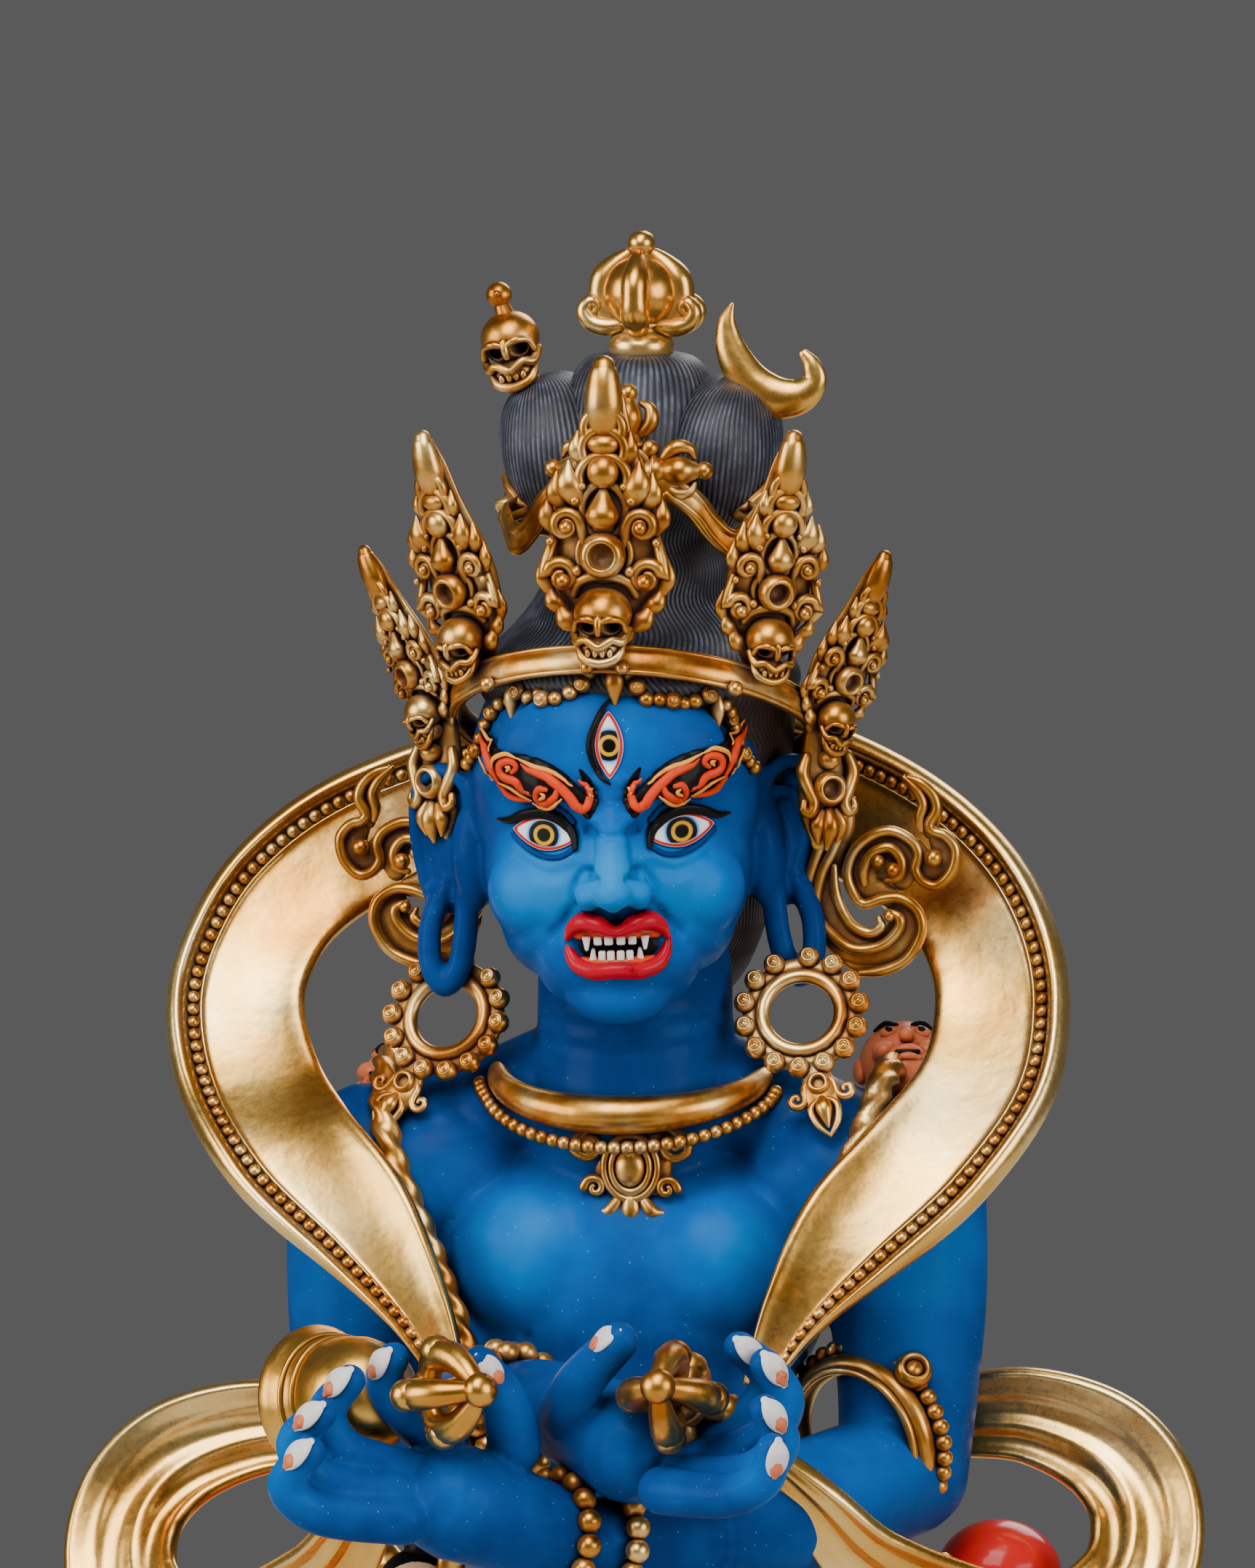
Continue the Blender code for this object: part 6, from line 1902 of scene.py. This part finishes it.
@dataclass
class Jewellery:
    """Torque, earrings, bangles, bracelets, belt and anklets."""

    earring: Point = (20.0, -2.6, 251.0)
    left_earring: Point = (-21.3, -2.6, 249.8)
    earring_lean: float = -26.0
    torque_radii: tuple[float, float] = (15.6, 14.4)
    torque_tube: float = 2.25
    torque_level: float = 240.1
    torque_rise: float = 3.8
    bangle_radius: float = 9.0
    bangle_beads: int = 36
    bangle_centre: Point = (27.2, -3.2, 202.0)
    bangle_jewel: Point = (34.0, -7.8, 210.8)
    wrist_bead: float = 1.42
    wrist_bead_spacing: float = 2.75
    belt_level: float = 174.0
    belt_beads: int = 64
    anklet_radius: float = 7.2
    anklet_beads: int = 26

    def build(self, body: Surface) -> None:
        """Makes all of it.

        Args:
            body: the skin that the torque's beads and pendant lie on.
        """
        self.torque(body)
        for name, side in (("right", 1), ("left", -1)):
            self.make_earring(name, side)
        self.bangles()
        self.bracelets()
        self.below()

    def torque(self, body: Surface) -> None:
        """The smooth torque, the beads under it and the pendant on the breastbone."""
        shape = Shape()
        (wide, deep), level, rise = self.torque_radii, self.torque_level, self.torque_rise
        arc = []
        for turn in range(-100, 101, 10):
            a = radians(turn)
            tube = self.torque_tube - (self.torque_tube - 1.0) * (abs(turn) / 100) ** 1.4
            arc.append((wide * sin(a), 0.5 - deep * cos(a), level + rise * (1 - cos(a)), tube))
        back = []
        for turn in range(110, 251, 14):
            a = radians(turn)
            back.append((wide * sin(a), 0.5 - (deep - 0.8) * cos(a), level + rise * (1 - cos(a)), 1.0))
        shape.limb([*arc, *back], steps=2, sides=20)
        for turn in range(-84, 85, 5):
            a = radians(turn)
            lift = 1 - cos(a)
            x, z = 17.4 * sin(a), 236.4 + 6.6 * lift
            spot = body.front(x, z - 0.2, 0.35)
            shape.ball((x, min(spot.y, -15.6 * cos(a) + 1), z), 0.82, fineness=3)
        self.pendant(shape, body)
        finish_piece("torque_and_pendant", shape.mesh(), "ornament")

    def pendant(self, shape: Shape, body: Surface) -> None:
        """An oval boss in a double rim with leaf scrolls beside and below."""
        x, z = 1.6, 233.6
        y = body.front(x, z).y - 0.6
        shape.limb([(x, y + 1.3, z + 3.6, 4.2), (x, y + 1.3, z, 4.6), (x, y + 1.4, z - 3.6, 3.2)], sides=20,
                   flat=0.3)
        shape.ball((x, y - 0.8, z + 0.2), (1.7, 1.0, 2.2))
        shape.ring((x, y - 0.6, z + 0.2), (2.2, 2.8), 0.4, (90, 0, 0), count=40, sides=8)
        shape.ring((x, y - 0.3, z + 0.2), (3.1, 3.7), 0.45, (90, 0, 0), count=40, sides=8)
        for side in SIDES:
            shape.scroll((x + side * 5.0, y - 0.3, z + 2.8), 1.7, 1.2, 0.65, -side, turn=90 - 90 * side,
                         tail=[(x + side * 2.2, y, z + 4.6, 0.6), (x + side * 4.6, y - 0.2, z + 5.0, 0.7)])
            shape.scroll((x + side * 4.2, y - 0.2, z - 2.2), 1.3, 1.1, 0.55, side, turn=90 - 90 * side)
            shape.limb([(x + side * 1.4, y, z - 3.4, 0.6), (x + side * 2.4, y - 0.1, z - 4.8, 0.8),
                        (x + side * 3.6, y, z - 5.0, 0.35)], sides=10)
        shape.limb([(x, y - 0.2, z - 3.6, 0.9), (x, y - 0.2, z - 5.0, 1.1), (x, y, z - 6.4, 0.3)], sides=12,
                   flat=0.7)

    def make_earring(self, name: str, side: int) -> None:
        """A ring with a bright inner roll, a sunk channel, bezel beads and a jewelled drop."""
        shape = Shape()
        shape.ring((0, 0, 0), (4.55, 4.55), 0.85, (90, 0, 0), count=64, sides=14)
        shape.ring((0, 0.5, 0), (5.9, 5.9), 1.0, (90, 0, 0), count=64, sides=12, tall=0.7)
        for index in range(14):
            a = radians(105 + 25 * index)
            shape.gem((6.7 * cos(a), -0.35, 6.7 * sin(a)), 1.25)
        shape.cup((0, -0.2, -9.0), 1.3, hole=0.6)
        shape.limb([(0, 0.2, -7.6, 1.6), (0, 0.3, -10.4, 2.3), (0, 0.2, -13.2, 0.9)], sides=14, flat=0.45)
        shape.limb([(0, -0.5, -10.9, 0.5), (0, -0.9, -12.2, 0.95), (0, -0.6, -14.4, 0.15)], steps=6,
                   sides=14, flat=0.8)
        for lean in (-1, 1):
            rim = [(0, -0.3, -10.6, 0.3), (lean * 1.5, -0.5, -11.8, 0.42), (lean * 1.2, -0.4, -13.8, 0.4),
                   (0, -0.3, -15.4, 0.2)]
            shape.limb(rim, steps=6, sides=8)
            shape.scroll((lean * 2.9, 0, -10.2), 1.1, 1.0, 0.5, lean, turn=90 + 90 * lean,
                         tail=[(lean * 1.0, 0.1, -8.2, 0.4), (lean * 1.7, 0, -9.0, 0.5)])
        place = Matrix.Translation(self.earring if side > 0 else self.left_earring)
        spread = turned_by((0, side * (-14 if side > 0 else -22), side * (10 if side > 0 else 24)))
        shape.move(place @ spread @ turned_by((self.earring_lean, 0, 0)))
        finish_piece(f"earring_ring_{name}", shape.mesh(), "ornament", f"earring_{name}")

    def bangles(self) -> None:
        """A smooth bangle with a bead row and an open cup on each forearm near the elbow."""
        shape = Shape()
        for side in SIDES:
            own = Shape()
            radius, bead_row = self.bangle_radius, self.bangle_radius + 1.7
            own.ring((0, 0, 0), (radius, radius), 1.25, count=80, sides=16)
            own.ring((0, 0, 1.7), (radius - 0.2, radius - 0.2), 0.5, count=80, sides=10)
            for a in around(self.bangle_beads):
                own.ball((bead_row * cos(a), bead_row * sin(a), -1.5), 1.0, fineness=3)
            axis = Vector((side * -0.47, -0.86, -0.2 if side > 0 else 0.1)).normalized()
            turn = axis.to_track_quat("Z", "Y").to_matrix().to_4x4()
            (centre,) = mirrored([self.bangle_centre], side)
            shape.add(own.mesh(), Matrix.Translation(centre) @ turn)
            jewel = Vector(mirrored([self.bangle_jewel], side)[0])
            way = Vector((side * 0.35, -0.75, 0.55)).normalized()
            shape.cup(tuple(jewel - way * 1.0), 2.1, tuple(way), hole=0.62)
            shape.limb([(*(jewel - way * 3.0), 1.3), (*(jewel - way * 0.8), 1.5)], sides=12)
        finish_piece("elbow_bangles", shape.mesh(), "ornament")

    def bracelets(self) -> None:
        """Bead rows at both wrists."""
        shape = Shape()
        for middle, axis, radius, rows in (
            (Vector((-1.4, -44.6, 194.8)), Vector((-0.7, -0.68, 0.15)), 6.9, (0.0, 6.4)),
            (Vector((-8.0, -30.4, 208)), Vector((0.74, -0.64, 0.2)), 6.2, (0.0, 2.8)),
        ):
            axis = axis.normalized()
            turn = axis.to_track_quat("Z", "Y").to_matrix().to_4x4()
            for row, off in enumerate(rows):
                reach = radius + 0.3 + (0.5 if row else 0)
                count = round(2 * pi * reach / self.wrist_bead_spacing)
                for a in around(count):
                    spot = turn @ Vector((reach * cos(a), reach * sin(a), 0))
                    shape.ball(tuple(middle - axis * off + spot), self.wrist_bead, fineness=3)
        finish_piece("wrist_beads", shape.mesh(), "ornament")

    def below(self) -> None:
        """Belt with two bead rows and a front bezel, and anklets with beads and bezels."""
        shape = Shape()
        shape.ring((0, -0.5, self.belt_level), (18.8, 14.8), 1.5, count=96, sides=14, tall=1.4)
        for level in (self.belt_level - 2.6, self.belt_level + 2.6):
            for a in around(self.belt_beads):
                shape.ball((19.6 * cos(a), -0.5 + 15.6 * sin(a), level), 0.85, fineness=2)
        shape.cup((0, -15.6, self.belt_level), 3.0)
        shape.ring((0, -16.4, self.belt_level), (3.9, 3.9), 0.6, (90, 0, 0), count=40, sides=8)
        for middle in ((-47.5, 2.5, 66), (35.2, 0, 67)):
            shape.ring(middle, (self.anklet_radius, self.anklet_radius), 1.1, count=56, sides=12)
            for a in around(self.anklet_beads):
                shape.ball((middle[0] + 7.3 * cos(a), middle[1] + 7.3 * sin(a), middle[2] + 1.8), 0.85,
                           fineness=2)
            shape.cup((middle[0], middle[1] - 7.4, middle[2]), 1.7)
        finish_piece("belt_and_anklets", shape.mesh(), "ornament")


@dataclass
class Garland:
    """The twisted rope over both shoulders and the small heads that hang on it."""

    count: int = 11
    rope: tuple[Station, ...] = (
        (12, 15, 224, 1.9), (24, 14.5, 234, 1.9), (28.5, 9, 243, 1.9), (29, 0, 243, 1.8),
        (27, -8, 235, 1.8), (20.5, -10.5, 220, 1.8), (17, -12.5, 209, 1.8), (17, -12.5, 195, 1.8),
        (21, -11, 184, 1.9),
    )

    def build(self) -> None:
        """Makes the rope and all heads."""
        rope = Shape()
        for side in SIDES:
            rope.limb(mirrored(self.rope, side), steps=18, sides=18, lobes=3, groove=0.3, twist=0.09 * side)
            rope.limb(mirrored([(21, -8, 184, 1.9), (29, -2, 187, 1.9), (38, 6, 186, 1.9)], side), steps=14,
                      sides=18,
                      lobes=3, groove=0.3, twist=0.09)
        rope.limb([(-12, 15, 224, 1.9), (0, 15.5, 221, 1.9), (12, 15, 224, 1.9)], steps=14, sides=18,
                  lobes=3,
                  groove=0.3, twist=0.09)
        skins = {"salmon": Shape(), "cream": Shape(), "dome": Shape()}
        features, knots = Shape(), Shape()
        names = ("cream", "salmon", "dome")
        curve = []
        for index in range(self.count):
            turn = pi * index / (self.count - 1)
            spot = Vector((31 * cos(turn), -14 - 13 * sin(turn), 168 - 50 * sin(turn)))
            curve.append((spot.x, spot.y + 3, spot.z + 1, 1.9))
            self.head(skins[names[index % 3]], features, knots, Matrix.Translation(spot))
        rope.limb(curve, steps=6, sides=18, lobes=3, groove=0.3, twist=0.09)
        for side in SIDES:
            resting = Matrix.Translation((side * 29.2, 13, 243.2 if side > 0 else 239.4)) @ turned_by((-58,
                    0, side * 14))
            self.head(skins["salmon"], features, None, resting)
            self.head(skins["cream"], features, knots, Matrix.Translation((side * 23, -10, 183)))
            skins["dome"].ball((side * 41.2, 8, 185.2 if side > 0 else 178), (7.3, 7.0, 6.5), fineness=5)
        finish_piece("garland_rope", rope.mesh(), "ornament")
        for name, shape in skins.items():
            finish_piece(f"garland_heads_{name}", shape.mesh(), name)
        finish_piece("garland_features", features.mesh(), "black")
        finish_piece("garland_hair", knots.mesh(), "black", slot=Slot.HAIR)

    def head(self, skin: Shape, features: Shape, knots: Shape | None, place: Matrix) -> None:
        """One small head: skull, jaw, nose, ears, mouth, dark eyes and brows, and hair if it has any."""
        own = Shape()
        own.ball((0, 0, 0), (5.2, 5.4, 5.4))
        own.ball((0, -2.4, -3.6), (3.4, 3.2, 3.4))
        own.limb([(0, -5.0, 0.6, 0.5), (0, -5.9, -1.4, 0.9)], sides=10)
        for side in SIDES:
            own.ball((side * 5.1, 0, -0.8), (0.8, 1.3, 1.9), fineness=3)
            own.ball((side * 2.5, -4.2, -2.2), (1.5, 1.2, 1.3), fineness=3)
            own.ball((side * 1.9, -4.9, 0.2), (1.05, 0.7, 0.7), fineness=3)
        own.limb([(-1.5, -5.1, -3.7, 0.4), (0, -5.7, -3.5, 0.5), (1.5, -5.1, -3.7, 0.4)], sides=8)
        own.limb([(-1.3, -5.0, -4.6, 0.4), (0, -5.5, -4.8, 0.5), (1.3, -5.0, -4.6, 0.4)], sides=8)
        skin.add(own.mesh(), place)
        marks = Shape()
        for side in SIDES:
            marks.ball((side * 1.9, -5.5, 0.2), (0.45, 0.25, 0.45), fineness=2)
            marks.limb([(side * 0.9, -5.2, 1.4, 0.22), (side * 2.2, -5.0, 1.9, 0.3),
                        (side * 3.4, -4.2, 1.5, 0.18)],
                       steps=3, sides=8)
        marks.limb([(-1.2, -5.6, -4.1, 0.28), (1.2, -5.6, -4.1, 0.28)], steps=2, sides=8)
        features.add(marks.mesh(), place)
        if knots:
            hair = Shape()
            hair.ball((0, 1.2, 1.6), (5.3, 5.0, 4.6))
            hair.ball((0, 1, 6.0), (2.2, 2.2, 2.0), fineness=3)
            knots.add(hair.mesh(), place)


@dataclass
class HeldThings:
    """The vajra and the bell in the crossed hands."""

    vajra_centre: Point = (14.2, -50, 211.4)
    vajra_axis: Point = (-0.05, -0.94, 0.27)
    bell_centre: Point = (-15.1, -56, 212.6)
    bell_axis: Point = (0.73, -0.67, 0.127)

    def build(self) -> None:
        """Makes both."""
        prongs = self.prongs()
        vajra = Shape()
        axis = Vector(self.vajra_axis).normalized()
        for way in (axis, -axis):
            vajra.add(prongs, self.stand(Vector(self.vajra_centre), way))
        vajra.ball(self.vajra_centre, 2.2)
        finish_piece("vajra_in_hand", vajra.mesh(), "ornament", "vajra")
        bell = Shape()
        axis = Vector(self.bell_axis).normalized()
        bell.add(prongs, self.stand(Vector(self.bell_centre), axis))
        profile = [(0, 4.6), (2.2, 4.8), (4.6, 6.0), (6.2, 8.0), (6.9, 10.6), (7.0, 13.0), (6.9, 14.8),
                   (7.1, 16.2), (8.0, 17.8), (8.5, 18.8), (8.3, 19.3), (7.2, 18.6), (6.2, 15.6),
                   (6.0, 12.0), (3.0, 8.6), (0, 8.2)]
        bell.turned(profile, self.bell_centre, tuple(-axis), 72)
        for far, radius in ((14.6, 7.05), (16.4, 7.35)):
            place = Vector(self.bell_centre) - axis * far
            own = Shape()
            own.ring((0, 0, 0), (radius, radius), 0.3, count=72, sides=8)
            bell.add(own.mesh(), self.stand(place, axis))
        finish_piece("bell_in_hand", bell.mesh(), "bell", "bell")

    def stand(self, place: Vector, way: Vector) -> Matrix:
        """The matrix that stands an upright drawing at a place, along a way."""
        return Matrix.Translation(place) @ way.to_track_quat("Z", "Y").to_matrix().to_4x4()

    def prongs(self) -> bpy.types.Mesh:
        """One end of a vajra, upright from the middle: lotus collar, four curved prongs and the core."""
        shape = Shape()
        shape.turned([(0, 0.8), (2.2, 1.0), (2.7, 1.9), (2.3, 2.7), (1.7, 3.2), (0, 3.3)], (0, 0, 0),
                     (0, 0, 1), 28)
        shape.limb([(0, 0, 2.5, 1.2), (0, 0, 7, 1.3), (0, 0, 11.0, 1.1)], sides=12)
        shape.ball((0, 0, 11.9), (2.05, 2.05, 1.8))
        for turn in around(4):
            rib = [(1.4, 2.4, 1.2), (3.6, 3.4, 1.65), (4.2, 5.4, 1.9), (3.7, 7.6, 1.75), (2.4, 9.6, 1.45),
                   (1.2, 10.8, 1.15)]
            shape.limb([(out * cos(turn), out * sin(turn), up, thick) for out, up, thick in rib], steps=4,
                       sides=12)
            shape.ball((4.7 * cos(turn), 4.7 * sin(turn), 4.2), 1.95, fineness=3)
        return shape.mesh()


@dataclass
class LowerParts:
    """Pelt skirt and lotus base with two rows of petals, plainer than what the photograph shows."""

    folds: int = 9
    petals: int = 18
    base_beads: int = 150
    skirt_gap: float = 1.0

    def build(self) -> None:
        """Makes the skirt and the base."""
        self.skirt()
        self.base()

    def skirt(self) -> None:
        """The pelt skirt: folds that deepen towards its hem, with a wavy edge."""
        sections = [(177, 17, 12.5, 0), (166, 20, 15, 0.4), (152, 26, 18, 0.9), (138, 32, 20, 1.4),
                    (128, 36.6, 21.4, 2), (126.5, 36.8, 21.6, 2)]
        rings = []
        body = drawn_surface("body_skin", "legs")
        sides = 12 * self.folds
        for z, half_x, half_y, fold in spline(sections, 6):
            ring = []
            for turn in around(sides):
                wave = 1 + fold * cos(self.folds * turn) / half_x
                dip = 0.8 * sin(self.folds * turn * 2) * (1 if z < 130 else 0)
                point = Vector((half_x * wave * cos(turn), half_y * wave * sin(turn) - 2, z + dip))
                middle = Vector((0, -2, z + dip))
                skin = body.towards(tuple(middle), point - middle, self.skirt_gap)
                ring.append(max(point, skin, key=lambda spot: (spot - middle).length))
            rings.append(ring)
        shape = Shape()
        shape.sweep(rings)
        finish_piece("pelt_skirt", shape.mesh(), "pelt")

    def base(self) -> None:
        """The oval lotus base: mouldings, beads and petals that hang and rise."""
        low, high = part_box("lotus_base")
        half_x, half_y = (high.x - low.x) / 2 / MM, (high.y - low.y) / 2 / MM
        tall = (high.z - low.z) / MM
        foot = DRAWING.sole - tall
        profile = [(0.0, 0), (0.985, 0), (0.995, 0.05), (0.985, 0.12), (0.95, 0.14), (0.9, 0.2),
                   (0.86, 0.36), (0.83, 0.48), (0.83, 0.54), (0.88, 0.7), (0.9, 0.86), (0.92, 0.9),
                   (0.92, 0.955), (0.9, 1.0), (0.0, 1.0)]
        shape = Shape()
        shape.turned([(half_x * wide, tall * up) for wide, up in profile], (0, 0, 0), (0, 0, 1), 128)
        bmesh.ops.scale(shape.bm, verts=shape.bm.verts[:], vec=(1, half_y / half_x, 1))
        bmesh.ops.translate(shape.bm, verts=shape.bm.verts[:], vec=(0, 0, foot))
        for a in around(self.base_beads):
            shape.ball((half_x * 0.915 * cos(a), half_y * 0.915 * sin(a), foot + tall * 0.975), 1.15,
                       fineness=2)
        for index, a in enumerate(around(2 * self.petals)):
            self.petal(shape, a, half_x, half_y, foot, tall, index % 2 == 0)
        finish_piece("lotus_throne", shape.mesh(), "ornament", "lotus_base")

    def petal(self, shape: Shape, turn: float, half_x: float, half_y: float, foot: float, tall: float,
              front: bool) -> None:
        """One petal of the lower row and one of the upper, wide in front and narrow between."""
        out = Vector((half_y * cos(turn), half_x * sin(turn), 0)).normalized()
        wide = 7.2 if front else 4.6
        off = 0.0 if front else -1.2

        def spot(share: float, height: float, lift: float) -> Point:
            """A point on the petal by its share of the base's reach and height."""
            point = Vector((half_x * share * cos(turn), half_y * share * sin(turn), foot + tall * height))
            return tuple(point + out * (lift + off))

        lower = [(*spot(0.84, 0.5, 0), wide * 0.5), (*spot(0.88, 0.4, 0.9), wide * 0.92),
                 (*spot(0.91, 0.28, 1.2), wide), (*spot(0.94, 0.18, 1.4), wide * 0.72),
                 (*spot(0.955, 0.15, 2.2), wide * 0.2)]
        upper = [(*spot(0.83, 0.54, 0), wide * 0.5), (*spot(0.86, 0.64, 0.8), wide * 0.92),
                 (*spot(0.875, 0.76, 1.0), wide), (*spot(0.89, 0.86, 1.2), wide * 0.66),
                 (*spot(0.9, 0.92, 1.8), wide * 0.18)]
        for line in (lower, upper):
            shape.limb(line, steps=3, sides=14, flat=0.24, facing=tuple(out))
            boss = [(x + out.x * 0.9, y + out.y * 0.9, z, radius * 0.5) for x, y, z, radius in line[:4]]
            shape.limb(boss, steps=3, sides=10, flat=0.4, facing=tuple(out))


def drawn_surface(*names: str) -> Surface:
    """The surface of finished pieces, back in drawn millimetres."""
    meshes = [bpy.data.objects[name].data for name in names]
    return Surface(*meshes, matrix=DRAWING.to_frame().inverted())


def main() -> None:
    """Builds the studio and every part of the statue in order."""
    logging.basicConfig(level=logging.INFO, format="%(name)s %(message)s")
    Studio().build()
    Body().build()
    chest = drawn_surface("body_skin")
    Hands().build()
    Face().build()
    Hair().build()
    Crown().build()
    TopknotPieces().build()
    Scarves().build()
    Jewellery().build(chest)
    Garland().build()
    HeldThings().build()
    LowerParts().build()


if __name__ == "__main__":
    main()
